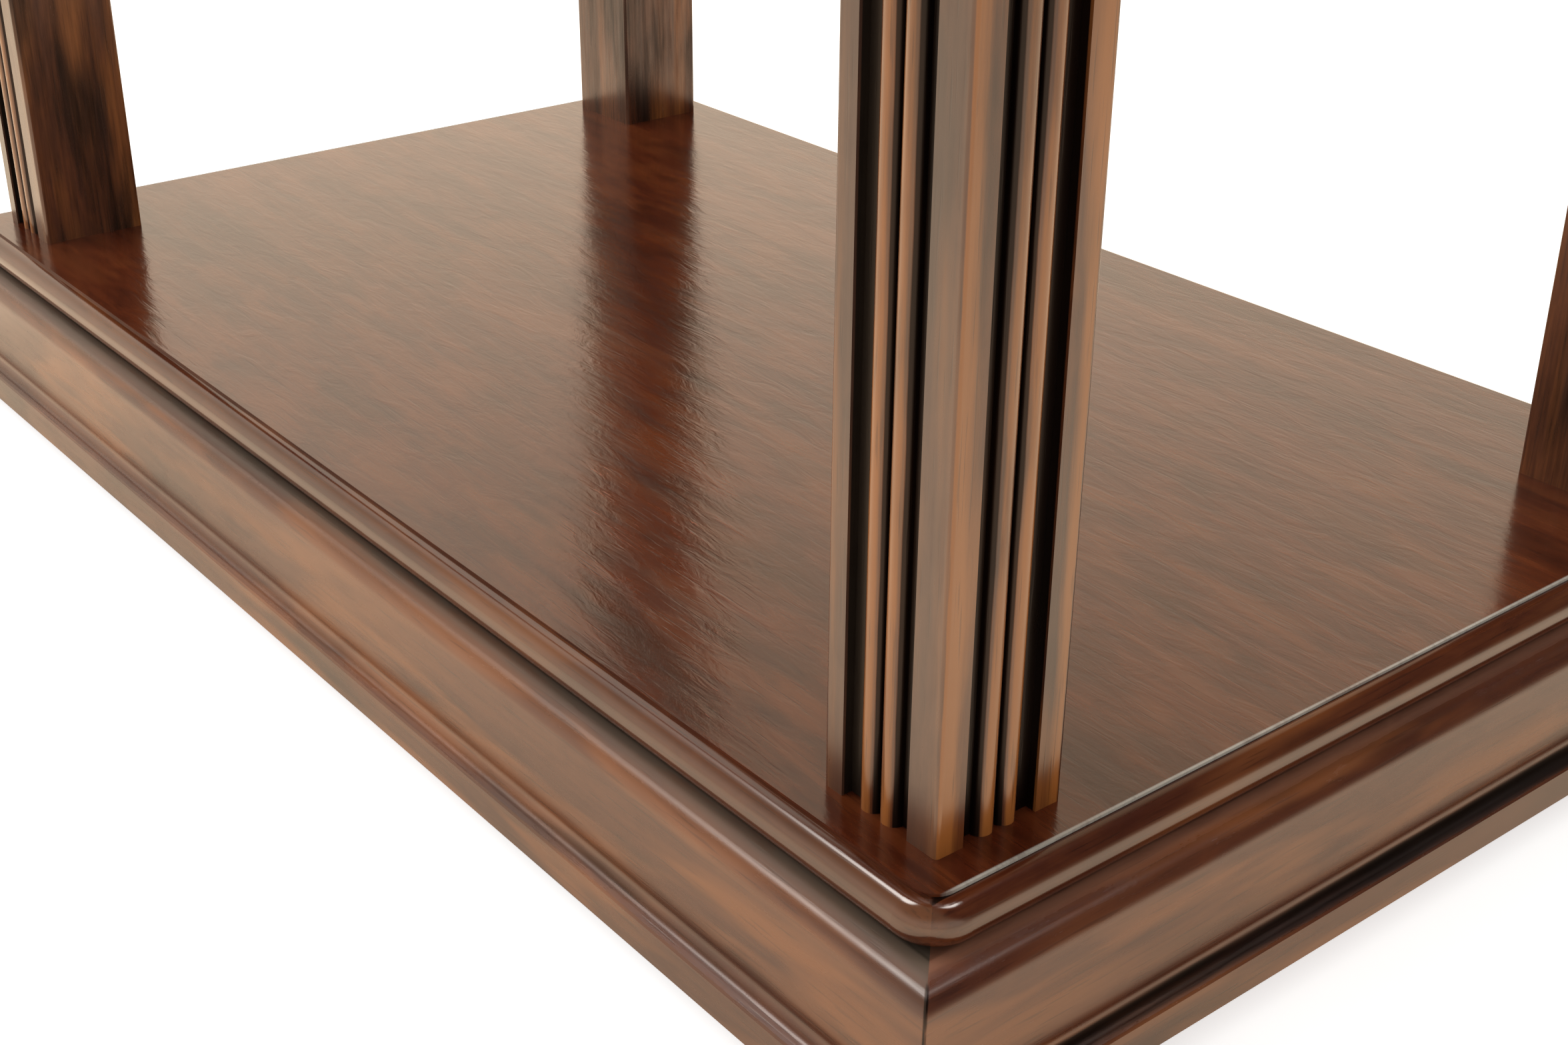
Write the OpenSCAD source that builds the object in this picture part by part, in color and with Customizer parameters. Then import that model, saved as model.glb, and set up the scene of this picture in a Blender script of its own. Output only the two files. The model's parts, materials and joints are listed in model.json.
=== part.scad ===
// Photo album stand: a mahogany floor stand for photo albums. A flat shelf with a
// bead edge lies on a moulded plinth, four posts stand on it, and above them an
// album rest is hinged to a top frame and held at any slope by two brass stays.
//
// Millimetres, +Z up. The long side lies along X and the front faces -Y. The origin
// is on the floor, at the middle of the footprint.

/* [Posts] */
// Width of each square post
post_w = 38; // [34:1:46]
// Distance over the outer faces of the posts, left to right
span_x = 545; // [460:5:700]
// Distance over the outer faces of the posts, front to back
span_y = 309; // [295:1:400]
// Length of the posts, from the shelf to the top frame
post_len = 720; // [400:10:900]
// Radius of the long edges of the posts
post_arris = 1.2; // [0.5:0.1:2]

/* [Flutes] */
// Depth of the channel that holds the two reeds
flute_depth = 3; // [1.5:0.1:4]
// Radius of each reed
reed_r = 3.1; // [2:0.1:3.2]
// Gap between the two reeds
reed_gap = 0.5; // [0.3:0.1:2]
// Width of the groove on the outer side of each reed
groove_w = 4.6; // [3:0.1:5]
// How far the channels of the front and back faces lie to the left of the middle
channel_shift = 1.6; // [0:0.1:2]

/* [Shelf] */
// Thickness of the shelf panel
shelf_t = 12; // [12:1:20]
// How far the flat of the shelf reaches beyond the posts
edge_reach = 10; // [7:1:12]
// Plan radius of the flat at its corners
edge_corner_r = 6; // [4:0.5:7]
// Radius of the half-round bead on the edge
bead_r = 5.5; // [4:0.1:5.5]
// How far the bead lies below the flat
bead_step = 0.8; // [0.3:0.1:1]
// Straight part of the bead strip before its round nose
bead_lead = 0.8; // [0.4:0.1:2]

/* [Plinth] */
// Height of the base moulding
moulding_h = 44.5; // [44:0.5:60]
// How far the neck under the bead stands out from the posts
neck_reach = 9.3; // [8:0.1:10]
// How far out from the posts the moulding's crown begins
crown_in = 12.6; // [12:0.1:13.2]
// Radius of the moulding's crown
crown_r = 21; // [19:0.5:23]
// Radius of the shoulder, where the crown turns down into the face
shoulder_r = 5.7; // [5.2:0.1:6.5]
// Radius of the long face of the moulding
face_r = 118; // [100:1:140]
// Radius of the hollow above the flat band at the foot
cove_r = 3.8; // [3.4:0.1:4.2]
// Side of the square block under each post
block_w = 60; // [56:1:70]
// Thickness of the rails behind the moulding
sub_rail_t = 18; // [14:1:24]
// Diameter of each floor glide
glide_d = 30; // [20:1:32]
// Height of each floor glide below the plinth
glide_h = 9; // [1:0.5:10]

/* [Top frame] */
// Thickness of the top frame
frame_t = 18; // [16:1:24]
// Width of the rails of the top frame
frame_w = 36; // [34:1:40]
// Height of the aprons between the posts
apron_h = 90; // [85:1:120]
// Thickness of the aprons
apron_t = 18; // [15:1:20]
// How far the aprons are set back from the faces of the posts
apron_inset = 5; // [3:0.5:6]
// Radius of the bead along the lower edge of the aprons
apron_bead_r = 3.5; // [2:0.1:4]
// Side of the square cleats that hold the frame to the aprons
cleat_w = 20; // [16:1:24]

/* [Album rest] */
// Slope of the album rest as the stand is shown, in degrees
rest_slope = 25; // [0:1:35]
// Steepest slope of the album rest, in degrees
rest_slope_max = 40; // [36:1:42]
// Thickness of the album rest
rest_t = 16; // [14:1:20]
// How far the album rest stays inside the flat of the top frame
rest_margin = 3; // [2:0.5:8]
// Height of the ledge that stops an album from sliding off
ledge_h = 24; // [16:1:40]
// Thickness of the ledge
ledge_t = 12; // [10:1:16]
// How far the ledge ends short of the ends of the album rest
ledge_short = 30; // [15:1:40]
// Height of the felt pads under the back of the album rest
pad_h = 2.5; // [1:0.1:2.5]

/* [Hinges] */
// Distance of each hinge's middle from the end of the album rest
hinge_in = 100; // [100:1:130]
// Length of each hinge
hinge_len = 60; // [45:1:70]
// Width of each hinge leaf from the pin
leaf_w = 22; // [18:1:24]
// Thickness of the hinge leaves
leaf_t = 1.6; // [1.2:0.1:2]
// Outer radius of the hinge knuckles
knuckle_r = 3; // [2.5:0.1:3.4]
// Radius of the hinge pins
pin_r = 1.45; // [1:0.05:1.6]
// Distance of the pins behind the front edge of the frame's flat
hinge_setback = 7; // [5:0.5:8]

/* [Quadrant stays] */
// Radius of the stays about the hinge pins
stay_r = 110; // [104:1:114]
// Width of the stay's arm
stay_w = 12; // [10:1:14]
// Thickness of the stay's arm
stay_t = 3; // [2:0.5:4]
// Gap between the stay and the apron beside it
stay_gap = 8; // [6:0.5:9]
// Radius of the stud that stops the stay at its end
stud_r = 4; // [3:0.1:5]
// Height of the clamp block that the stay runs through
clamp_h = 13.6; // [12:0.1:16]
// Radius of the thumbscrew's knob
knob_r = 9; // [7:0.5:12]
// Thickness of the thumbscrew's knob
knob_t = 8; // [6:0.5:12]

/* [Fixings] */
// Radius of the post bolts
bolt_r = 4; // [3:0.5:5]
// Length of the post bolts under the head
bolt_len = 80; // [65:1:100]
// Wood left above the post bolt's head in its block
bolt_seat = 30; // [20:1:32]
// Radius of the wood screws
screw_r = 2; // [1.5:0.1:2.2]
// Radius of the small brass screws
brass_screw_r = 1.5; // [1:0.1:1.6]
// Radius of the wooden dowels
dowel_r = 4; // [3:0.5:4]
// Length of the wooden dowels
dowel_len = 30; // [20:1:34]
// Radius of the thumbscrew's thread
thumb_r = 2.45; // [2:0.05:3]

/* [Hidden] */
$fn = 72;

SIDES = ["front", "back", "left", "right"];
ENDS = [-1, 1];

// Clearances
fit = 0.05;      // between a shank or pin and its hole
run_gap = 0.3;   // between pieces that move past each other
tip_gap = 0.5;   // between a screw's or dowel's end and the end of its hole
cut = 1;         // how far a cut runs past the face it opens

// Heights
plinth_top = glide_h + moulding_h;
shelf_z = plinth_top + shelf_t;
frame_z = shelf_z + post_len;
frame_top = frame_z + frame_t;

// Flutes
reed_pitch = 2 * reed_r + reed_gap;
channel_w = reed_pitch + 2 * reed_r + 2 * groove_w;

// Base moulding, as points (out from the posts, up from the shelf's underside)
neck_h = 0.6;         // height of the neck above the crown
crown_slope = 71;     // slope where the crown ends
face_lean = 8;        // slope where the face begins
face_tuck = -3;       // slope where the face ends
cove_slope = 84;      // slope where the hollow meets the ledge
ledge_fall = 14;      // fall of the ledge above the band
ledge_w = 1.4;        // width of the ledge
arris = 0.5;          // how far the worn top edge of the band is set back
arris_h = 0.6;        // height of that worn edge
foot_arris = 1.2;     // worn edge at the foot of the band
root = 5;             // how deep a rounded stretch is rooted behind its face
seam = 0.03;          // how deep neighbouring rounded stretches run into each other
over = 12;            // how far the shoulder's turn runs on inside its neighbours
crown_c = [crown_in, -neck_h - crown_r];
shoulder_c = crown_c + (crown_r - shoulder_r + seam) * polar(crown_slope);
face_c = shoulder_c + (shoulder_r - face_r - seam) * polar(face_lean);
face_end = face_c + face_r * polar(face_tuck);
cove_c = face_end + (cove_r - seam) * polar(face_tuck);
cove_end = cove_c - cove_r * polar(cove_slope);
ledge_end = cove_end + ledge_w * polar(-ledge_fall);
band_reach = ledge_end.x + arris;

// Bolts, glides and screws of the plinth
bolt_head_r = 1.7 * bolt_r;
bolt_head_h = 1.3 * bolt_r;
bolt_well_r = bolt_head_r + 3;
glide_in = block_w - glide_d / 2 - 3;
glide_stem_r = 3;
glide_stem_h = 10;
moulding_screw_len = sub_rail_t + 14;
moulding_screw_drop = 26;

// Screw heads
screw_head_r = 2 * screw_r;
brass_head_r = 1.9 * brass_screw_r;

// Top frame
frame_in = frame_w - edge_reach;
apron_face = apron_inset + apron_t;
dowel_drops = [0.28 * apron_h, 0.72 * apron_h];
cleat_gap = 14;
cleat_len = span_x - 2 * post_w - 2 * cleat_gap;
cleat_screw_len = cleat_w + frame_t - 6;

// Album rest, measured from the hinge pins with the rest flat
hinge_y = -(span_y / 2 + edge_reach) + hinge_setback;
hinge_z = frame_top + knuckle_r - leaf_t;
rest_under = knuckle_r - leaf_t;
rest_front = knuckle_r + 0.5;
rest_back = span_y / 2 + edge_reach - rest_margin - hinge_y;
rest_half = span_x / 2 + edge_reach - rest_margin;
rest_nose = rest_t / 2;
ledge_y = rest_front + rest_nose;
ledge_screw_grip = 12;
ledge_screw_len = rest_t + ledge_screw_grip;
ledge_screw_in = 18;
pad_r = 6;
pad_end = 80;
pad_x = rest_half - pad_end;
pad_y = rest_back - rest_nose - 2 * pad_r;

// Hinges
hinge_x = rest_half - hinge_in;
third = hinge_len / 3;
leaf_screw_y = 0.62 * leaf_w;
frame_screw_len = 13;
rest_screw_len = 12;

// Quadrant stays
stay_x = span_x / 2 - apron_face - stay_gap - stay_t / 2;
flange_w = 14;
flange_len = 30;
stud_proud = 1.5;
clamp_drop = 1;
clamp_lip = 7;
clamp_room = 1.5;
clamp_heel = 16;
clamp_cheek = 8.5;
clamp_bite = 11;
clamp_top = frame_z - clamp_drop - hinge_z;
clamp_bottom = clamp_top - clamp_h;
clamp_front = stay_r - stay_w / 2 - clamp_lip;
clamp_wall = stay_r + stay_w / 2 + clamp_room;
clamp_back = clamp_wall + clamp_heel;
clamp_in = stay_x - stay_t / 2 - clamp_cheek;
clamp_screw_len = span_x / 2 - apron_face - clamp_in + clamp_bite;
stop_drop = asin((stud_r + run_gap - clamp_bottom) / stay_r);
stay_sweep = rest_slope_max + stop_drop;
thumb_y = stay_r - 3;
thumb_z = (clamp_top + clamp_bottom) / 2;
thumb_tip = stay_x - stay_t / 2 - run_gap;
thumb_neck = clamp_in - run_gap;
knob_in = thumb_neck - 4 - knob_t;

MAHOGANY = [0.36, 0.16, 0.09];
MAHOGANY_DARK = [0.28, 0.12, 0.07];
VENEER = [0.42, 0.19, 0.11];
PINE = [0.78, 0.62, 0.42];
BEECH = [0.80, 0.64, 0.46];
BRASS = [0.80, 0.62, 0.30];
STEEL = [0.62, 0.63, 0.65];
NYLON = [0.12, 0.11, 0.10];
FELT = [0.20, 0.24, 0.18];

function polar(a) = [cos(a), sin(a)];
function side_len(side) = (side == "front" || side == "back") ? span_x : span_y;
function side_half(side) = (side == "front" || side == "back") ? span_y / 2 : span_x / 2;
function side_turn(side) = side == "back" ? 0 : side == "left" ? 90 : side == "front" ? 180 : -90;
// A strip along a side whose ends are mitred at 45 degrees
function mitre_outline(len, out, in) = [
    [-len / 2 - out, out], [len / 2 + out, out], [len / 2 - in, -in], [-len / 2 + in, -in]];

// ---- placing ----

// Puts a piece drawn along X, with the posts' faces at y = 0 and +Y outwards, on a side
module on_side(side) {
    rotate([0, 0, side_turn(side)])
        translate([0, side_half(side), 0])
            children();
}

// Repeats a piece at the middle of each post
module at_posts() {
    for (sx = ENDS, sy = ENDS)
        at_post(sx, sy) children();
}

module at_post(sx, sy) {
    translate([sx * (span_x - post_w) / 2, sy * (span_y - post_w) / 2, 0])
        children();
}

// Puts a piece drawn from the hinge pins, with the rest flat, at the rest's slope
module on_rest() {
    translate([0, hinge_y, hinge_z])
        rotate([rest_slope, 0, 0])
            children();
}

// Puts a piece drawn from the hinge pins on the fixed frame
module on_pins() {
    translate([0, hinge_y, hinge_z])
        children();
}

// Runs an outline (out, up) along X, centred
module run(len) {
    rotate([90, 0, 90])
        linear_extrude(len, center = true)
            children();
}

// Keeps what lies between the mitres of a side's strip
module mitred(len, out, in, z0, z1) {
    intersection() {
        children();
        translate([0, 0, z0])
            linear_extrude(z1 - z0)
                polygon(mitre_outline(len, out, in));
    }
}

// ---- fixings, each with its head at z = 0 and its point towards +Z ----

module countersunk_screw(r, head_r, len) {
    cylinder(r1 = head_r, r2 = r, h = head_r - r);
    cylinder(r = r, h = len - 2 * r);
    translate([0, 0, len - 2 * r])
        cylinder(r1 = r, r2 = 0.3 * r, h = 2 * r);
}

module screw_hole(r, head_r, len) {
    cylinder(r1 = head_r + fit, r2 = r + fit, h = head_r - r);
    cylinder(r = r + fit, h = len + tip_gap);
    translate([0, 0, -cut])
        cylinder(r = head_r + fit, h = cut);
}

// ---- shelf ----

// The strip of bead: a short flat and a half-round nose
module bead_outline() {
    intersection() {
        union() {
            translate([bead_lead, -bead_step - bead_r])
                circle(bead_r);
            translate([0, -bead_step - 2 * bead_r])
                square([bead_lead, 2 * bead_r]);
        }
        translate([0, -2 * bead_step - 2 * bead_r])
            square(4 * bead_r + bead_lead);
    }
}

// One side's bead, with half of the round corner at each end
module bead(len) {
    straight = len + 2 * (edge_reach - edge_corner_r);
    translate([0, edge_reach, 0])
        run(straight)
            bead_outline();
    for (e = ENDS)
        mirror([e < 0 ? 1 : 0, 0, 0])
            translate([straight / 2, edge_reach - edge_corner_r, 0])
                rotate([0, 0, 90])
                    mirror([0, 1, 0])
                        rotate_extrude(angle = 45)
                            translate([edge_corner_r, 0])
                                bead_outline();
}

module rounded_rectangle(w, d, r) {
    square([w - 2 * r, d], center = true);
    square([w, d - 2 * r], center = true);
    for (sx = ENDS, sy = ENDS)
        translate([sx * (w / 2 - r), sy * (d / 2 - r)])
            circle(r);
}

module shelf_panel() {
    color(VENEER)
        difference() {
            translate([0, 0, plinth_top])
                linear_extrude(shelf_t)
                    rounded_rectangle(span_x + 2 * edge_reach, span_y + 2 * edge_reach, edge_corner_r);
            at_posts()
                translate([0, 0, plinth_top - cut])
                    cylinder(r = bolt_r + fit, h = shelf_t + 2 * cut);
        }
}

module shelf_bead(side) {
    color(MAHOGANY)
        on_side(side)
            translate([0, 0, shelf_z])
                bead(side_len(side));
}

// ---- plinth ----

// The core of the base moulding: neck, small hollow, hollow sweep, ledge and flat band
module moulding_core() {
    behind = root / 2;
    polygon([
        [0, 0], [neck_reach, 0], [neck_reach, -neck_h], [crown_in, -neck_h],
        crown_c + (crown_r - behind) * polar(90),
        shoulder_c + (shoulder_r - behind) * polar(crown_slope),
        shoulder_c + (shoulder_r - behind) * polar(face_lean),
        face_c + (face_r - behind) * polar(face_tuck),
        face_end + behind * polar(face_tuck),
        cove_end - arris * polar(-ledge_fall), ledge_end,
        [band_reach, ledge_end.y - arris_h], [band_reach, foot_arris - moulding_h],
        [band_reach - foot_arris, -moulding_h], [0, -moulding_h]]);
}

// A rounded stretch of the base moulding, between two slopes
module moulding_round(c, r, from, to) {
    intersection() {
        translate(c)
            circle(r);
        polygon([
            c + (r - root) * polar(from), c + (r + root) * polar(from),
            c + (r + root) * polar(to), c + (r - root) * polar(to)]);
    }
}

// The screws that hold a side's moulding to the rail behind it
module at_moulding_screws(side) {
    count = side_len(side) > 400 ? 3 : 2;
    pitch = (side_len(side) - 2 * block_w) / count;
    on_side(side)
        for (i = [0 : count - 1])
            translate([(i - (count - 1) / 2) * pitch, -sub_rail_t, plinth_top - moulding_screw_drop])
                rotate([-90, 0, 0])
                    children();
}

module base_moulding(side) {
    len = side_len(side) + 2 * band_reach + 2 * cut;
    color(MAHOGANY_DARK)
        difference() {
            on_side(side)
                mitred(side_len(side), band_reach + cut, 0, 0, plinth_top + cut)
                    translate([0, 0, plinth_top])
                        difference() {
                            union() {
                                run(len)
                                    moulding_core();
                                run(len)
                                    moulding_round(crown_c, crown_r, 90, crown_slope);
                                run(len)
                                    moulding_round(
                                        shoulder_c, shoulder_r, crown_slope + over, face_lean - over);
                                run(len)
                                    moulding_round(face_c, face_r, face_lean, face_tuck - 1);
                            }
                            run(len + 2 * cut)
                                translate(cove_c)
                                    circle(cove_r);
                        }
            at_moulding_screws(side)
                cylinder(r = screw_r + fit, h = moulding_screw_len + tip_gap);
        }
}

module sub_rail(side) {
    color(PINE)
        difference() {
            on_side(side)
                translate([-side_len(side) / 2 + block_w, -sub_rail_t, glide_h])
                    cube([side_len(side) - 2 * block_w, sub_rail_t, moulding_h]);
            at_moulding_screws(side)
                screw_hole(screw_r, screw_head_r, moulding_screw_len);
        }
}

module centre_rail() {
    depth = span_y - 2 * sub_rail_t;
    color(PINE)
        translate([-sub_rail_t / 2, -depth / 2, glide_h])
            cube([sub_rail_t, depth, moulding_h]);
}

// The middle of the glide under a corner block, seen from the post's middle
module at_glide(sx, sy) {
    reach = glide_in - post_w / 2;
    at_post(sx, sy)
        translate([-sx * reach, -sy * reach, 0])
            children();
}

module corner_block(sx, sy) {
    shift = (block_w - post_w) / 2;
    color(PINE)
        difference() {
            at_post(sx, sy)
                translate([-sx * shift, -sy * shift, glide_h + moulding_h / 2])
                    cube([block_w, block_w, moulding_h], center = true);
            at_post(sx, sy)
                translate([0, 0, glide_h - cut])
                    cylinder(r = bolt_r + fit, h = moulding_h + 2 * cut);
            at_post(sx, sy)
                translate([0, 0, glide_h - cut])
                    cylinder(r = bolt_well_r, h = moulding_h - bolt_seat + cut);
            at_glide(sx, sy)
                translate([0, 0, glide_h - cut])
                    cylinder(r = glide_stem_r + fit, h = glide_stem_h + tip_gap + cut);
        }
}

module floor_glides() {
    color(NYLON)
        for (sx = ENDS, sy = ENDS)
            at_glide(sx, sy) {
                cylinder(r1 = glide_d / 2 - 1, r2 = glide_d / 2, h = glide_h);
                cylinder(r = glide_stem_r, h = glide_h + glide_stem_h);
            }
}

module moulding_screws() {
    color(STEEL)
        for (side = SIDES)
            at_moulding_screws(side)
                countersunk_screw(screw_r, screw_head_r, moulding_screw_len);
}

module post_bolts() {
    color(STEEL)
        at_posts()
            translate([0, 0, plinth_top - bolt_seat]) {
                cylinder(r = bolt_r, h = bolt_len);
                translate([0, 0, -1.5])
                    cylinder(r = bolt_head_r + 1.5, h = 1.5);
                translate([0, 0, -1.5 - bolt_head_h])
                    cylinder(r = bolt_head_r, h = bolt_head_h, $fn = 6);
            }
}

// ---- posts ----

// A channel across one face, with two reeds standing in it level with the face
module channel() {
    translate([-channel_w / 2, post_w / 2 - flute_depth])
        square([channel_w, flute_depth + cut]);
}

module reeds() {
    for (e = ENDS)
        translate([e * reed_pitch / 2, post_w / 2 - reed_r])
            circle(reed_r);
}

// A post's section, with the channelled faces towards +X and +Y
module post_outline(shift) {
    difference() {
        rounded_rectangle(post_w, post_w, post_arris);
        translate([shift, 0])
            channel();
        rotate(-90)
            channel();
    }
    translate([shift, 0])
        reeds();
    rotate(-90)
        reeds();
}

module post(sx, sy) {
    color(MAHOGANY)
        difference() {
            at_post(sx, sy)
                translate([0, 0, shelf_z])
                    mirror([sx < 0 ? 1 : 0, 0, 0])
                        mirror([0, sy < 0 ? 1 : 0, 0])
                            linear_extrude(post_len)
                                post_outline(-sx * channel_shift);
            at_post(sx, sy)
                translate([0, 0, shelf_z - cut])
                    cylinder(r = bolt_r + fit, h = bolt_len - bolt_seat - shelf_t + tip_gap + cut);
            for (side = SIDES)
                at_dowels(side)
                    cylinder(r = dowel_r + fit, h = dowel_len + 2 * tip_gap, center = true);
        }
}

// ---- top frame ----

// The plan of one rail of the top frame, mitred, with half of the round corner at each end
module rail_plan(len) {
    round_x = len / 2 + edge_reach - edge_corner_r;
    intersection() {
        polygon(mitre_outline(len, edge_reach + cut, frame_in));
        union() {
            translate([-round_x, -frame_in])
                square([2 * round_x, frame_w]);
            translate([-round_x - edge_corner_r, -frame_in])
                square([2 * round_x + 2 * edge_corner_r, frame_w - edge_corner_r]);
            for (e = ENDS)
                translate([e * round_x, edge_reach - edge_corner_r])
                    circle(edge_corner_r);
        }
    }
}

module top_rail(side) {
    color(VENEER)
        difference() {
            on_side(side) {
                translate([0, 0, frame_z])
                    linear_extrude(frame_t)
                        rail_plan(side_len(side));
                translate([0, 0, frame_top])
                    bead(side_len(side));
            }
            if (side == "front")
                hinge_mortises();
            if (side == "front" || side == "back")
                at_cleat_screws(side)
                    cylinder(r = screw_r + fit, h = cleat_screw_len + tip_gap);
        }
}

// The bed of each fixed leaf, and a trench in front of it for the knuckles
module hinge_mortises() {
    at_hinges()
        on_pins() {
            translate([-hinge_len / 2, 0, -knuckle_r])
                cube([hinge_len, leaf_w, leaf_t + cut]);
            translate([-hinge_len / 2, -knuckle_r - run_gap, -knuckle_r - run_gap])
                cube([hinge_len, 2 * (knuckle_r + run_gap), knuckle_r + cut]);
        }
    at_leaf_screws()
        on_pins()
            translate([0, leaf_screw_y, -knuckle_r + leaf_t])
                rotate([180, 0, 0])
                    cylinder(r = brass_screw_r + fit, h = frame_screw_len + tip_gap);
}

// The joint between an apron's end and a post
module at_dowels(side) {
    on_side(side)
        for (e = ENDS, drop = dowel_drops)
            translate([e * (side_len(side) / 2 - post_w), -apron_inset - apron_t / 2, frame_z - drop])
                rotate([0, 90, 0])
                    children();
}

module apron_outline() {
    translate([-apron_face, -apron_h])
        square([apron_t, apron_h]);
    translate([-apron_inset - apron_bead_r / 2, apron_bead_r - apron_h])
        circle(apron_bead_r);
}

module apron(side) {
    color(MAHOGANY)
        difference() {
            on_side(side)
                translate([0, 0, frame_z])
                    run(side_len(side) - 2 * post_w)
                        apron_outline();
            at_dowels(side)
                cylinder(r = dowel_r + fit, h = dowel_len + 2 * tip_gap, center = true);
            if (side == "left" || side == "right")
                at_clamp_screws(side == "left" ? -1 : 1)
                    cylinder(r = screw_r + fit, h = clamp_screw_len + tip_gap);
        }
}

module apron_dowels() {
    color(BEECH)
        for (side = SIDES)
            at_dowels(side)
                cylinder(r = dowel_r, h = dowel_len, center = true);
}

module at_cleat_screws(side) {
    pitch = cleat_len / 3;
    on_side(side)
        for (i = [-1 : 1])
            translate([i * pitch, -apron_face - cleat_w / 2, frame_z - cleat_w])
                children();
}

module cleat(side) {
    color(PINE)
        difference() {
            on_side(side)
                translate([-cleat_len / 2, -apron_face - cleat_w, frame_z - cleat_w])
                    cube([cleat_len, cleat_w, cleat_w]);
            at_cleat_screws(side)
                screw_hole(screw_r, screw_head_r, cleat_screw_len);
        }
}

module cleat_screws() {
    color(STEEL)
        for (side = ["front", "back"])
            at_cleat_screws(side)
                countersunk_screw(screw_r, screw_head_r, cleat_screw_len);
}

// ---- album rest ----

// A board with a full round nose on all four edges
module nosed_board(half, y0, y1, z0, t) {
    r = t / 2;
    translate([-half + r, y0 + r, z0])
        cube([2 * (half - r), y1 - y0 - 2 * r, t]);
    for (y = [y0 + r, y1 - r])
        translate([0, y, z0 + r])
            rotate([0, 90, 0])
                cylinder(r = r, h = 2 * (half - r), center = true);
    for (e = ENDS)
        translate([e * (half - r), y0 + r, z0 + r])
            rotate([-90, 0, 0])
                cylinder(r = r, h = y1 - y0 - 2 * r);
    for (e = ENDS, y = [y0 + r, y1 - r])
        translate([e * (half - r), y, z0 + r])
            sphere(r);
}

module album_rest() {
    color(VENEER)
        on_rest()
            difference() {
                nosed_board(rest_half, rest_front, rest_back, rest_under, rest_t);
                at_hinges()
                    translate([-hinge_len / 2, 0, rest_under - cut])
                        cube([hinge_len, leaf_w, leaf_t + cut]);
                at_leaf_screws()
                    translate([0, leaf_screw_y, rest_under])
                        cylinder(r = brass_screw_r + fit, h = rest_screw_len + tip_gap);
                at_ledge_screws()
                    screw_hole(screw_r, screw_head_r, ledge_screw_len);
                for (sx = ENDS)
                    at_flange_screws(sx)
                        cylinder(r = brass_screw_r + fit, h = rest_screw_len + tip_gap);
            }
}

// The ledge has a round top edge and stands on the front of the rest
module album_ledge() {
    half = rest_half - ledge_short;
    color(MAHOGANY)
        on_rest()
            difference() {
                translate([0, ledge_y, rest_under + rest_t]) {
                    translate([-half, 0, 0])
                        cube([2 * half, ledge_t, ledge_h - ledge_t / 2]);
                    translate([0, ledge_t / 2, ledge_h - ledge_t / 2])
                        rotate([0, 90, 0])
                            cylinder(r = ledge_t / 2, h = 2 * half, center = true);
                }
                at_ledge_screws()
                    cylinder(r = screw_r + fit, h = ledge_screw_len + tip_gap);
            }
}

// One screw near each end of the ledge, and two between the hinges
module at_ledge_screws() {
    for (e = ENDS, x = [hinge_x / 2, rest_half - ledge_short - ledge_screw_in])
        translate([e * x, ledge_y + ledge_t / 2, rest_under])
            children();
}

module ledge_screws() {
    color(STEEL)
        on_rest()
            at_ledge_screws()
                countersunk_screw(screw_r, screw_head_r, ledge_screw_len);
}

module rest_pads() {
    color(FELT)
        for (e = ENDS)
            translate([e * pad_x, hinge_y + pad_y, frame_top])
                cylinder(r = pad_r, h = pad_h);
}

// ---- hinges, drawn about the pin ----

module at_hinges() {
    for (e = ENDS)
        translate([e * hinge_x, 0, 0])
            children();
}

module at_leaf_screws() {
    at_hinges()
        for (i = [-1 : 1])
            translate([i * third, 0, 0])
                children();
}

module knuckle(x, len) {
    translate([x, 0, 0])
        rotate([0, 90, 0])
            cylinder(r = knuckle_r, h = len, center = true);
}

module pin_hole() {
    rotate([0, 90, 0])
        cylinder(r = pin_r + fit, h = hinge_len + 2 * cut, center = true);
}

// The fixed leaf carries the two outer knuckles
module hinge_frame_leaf(sx) {
    joint = third / 2 + fit;
    color(BRASS)
        on_pins()
            translate([sx * hinge_x, 0, 0])
                difference() {
                    union() {
                        translate([-hinge_len / 2, 0, -knuckle_r])
                            cube([hinge_len, leaf_w, leaf_t]);
                        for (e = ENDS)
                            knuckle(e * (joint + hinge_len / 2) / 2, hinge_len / 2 - joint);
                    }
                    translate([-joint, -knuckle_r - cut, -knuckle_r - cut])
                        cube([2 * joint, 2 * knuckle_r + run_gap + cut, 2 * knuckle_r + 2 * cut]);
                    pin_hole();
                    for (i = [-1 : 1])
                        translate([i * third, leaf_screw_y, -knuckle_r + leaf_t])
                            rotate([180, 0, 0])
                                screw_hole(brass_screw_r, brass_head_r, frame_screw_len);
                }
}

// The moving leaf carries the middle knuckle
module hinge_rest_leaf(sx) {
    joint = third / 2 - fit;
    color(BRASS)
        on_rest()
            translate([sx * hinge_x, 0, 0])
                difference() {
                    union() {
                        translate([-hinge_len / 2, knuckle_r + run_gap, rest_under])
                            cube([hinge_len, leaf_w - knuckle_r - run_gap, leaf_t]);
                        translate([-joint, 0, rest_under])
                            cube([2 * joint, leaf_w, leaf_t]);
                        knuckle(0, 2 * joint);
                    }
                    pin_hole();
                    for (i = [-1 : 1])
                        translate([i * third, leaf_screw_y, rest_under])
                            screw_hole(brass_screw_r, brass_head_r, rest_screw_len);
                }
}

module hinge_pins() {
    color(BRASS)
        on_pins()
            at_hinges()
                rotate([0, 90, 0])
                    cylinder(r = pin_r, h = hinge_len, center = true);
}

module hinge_frame_screws() {
    color(BRASS)
        on_pins()
            at_leaf_screws()
                translate([0, leaf_screw_y, -knuckle_r + leaf_t])
                    rotate([180, 0, 0])
                        countersunk_screw(brass_screw_r, brass_head_r, frame_screw_len);
}

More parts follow.
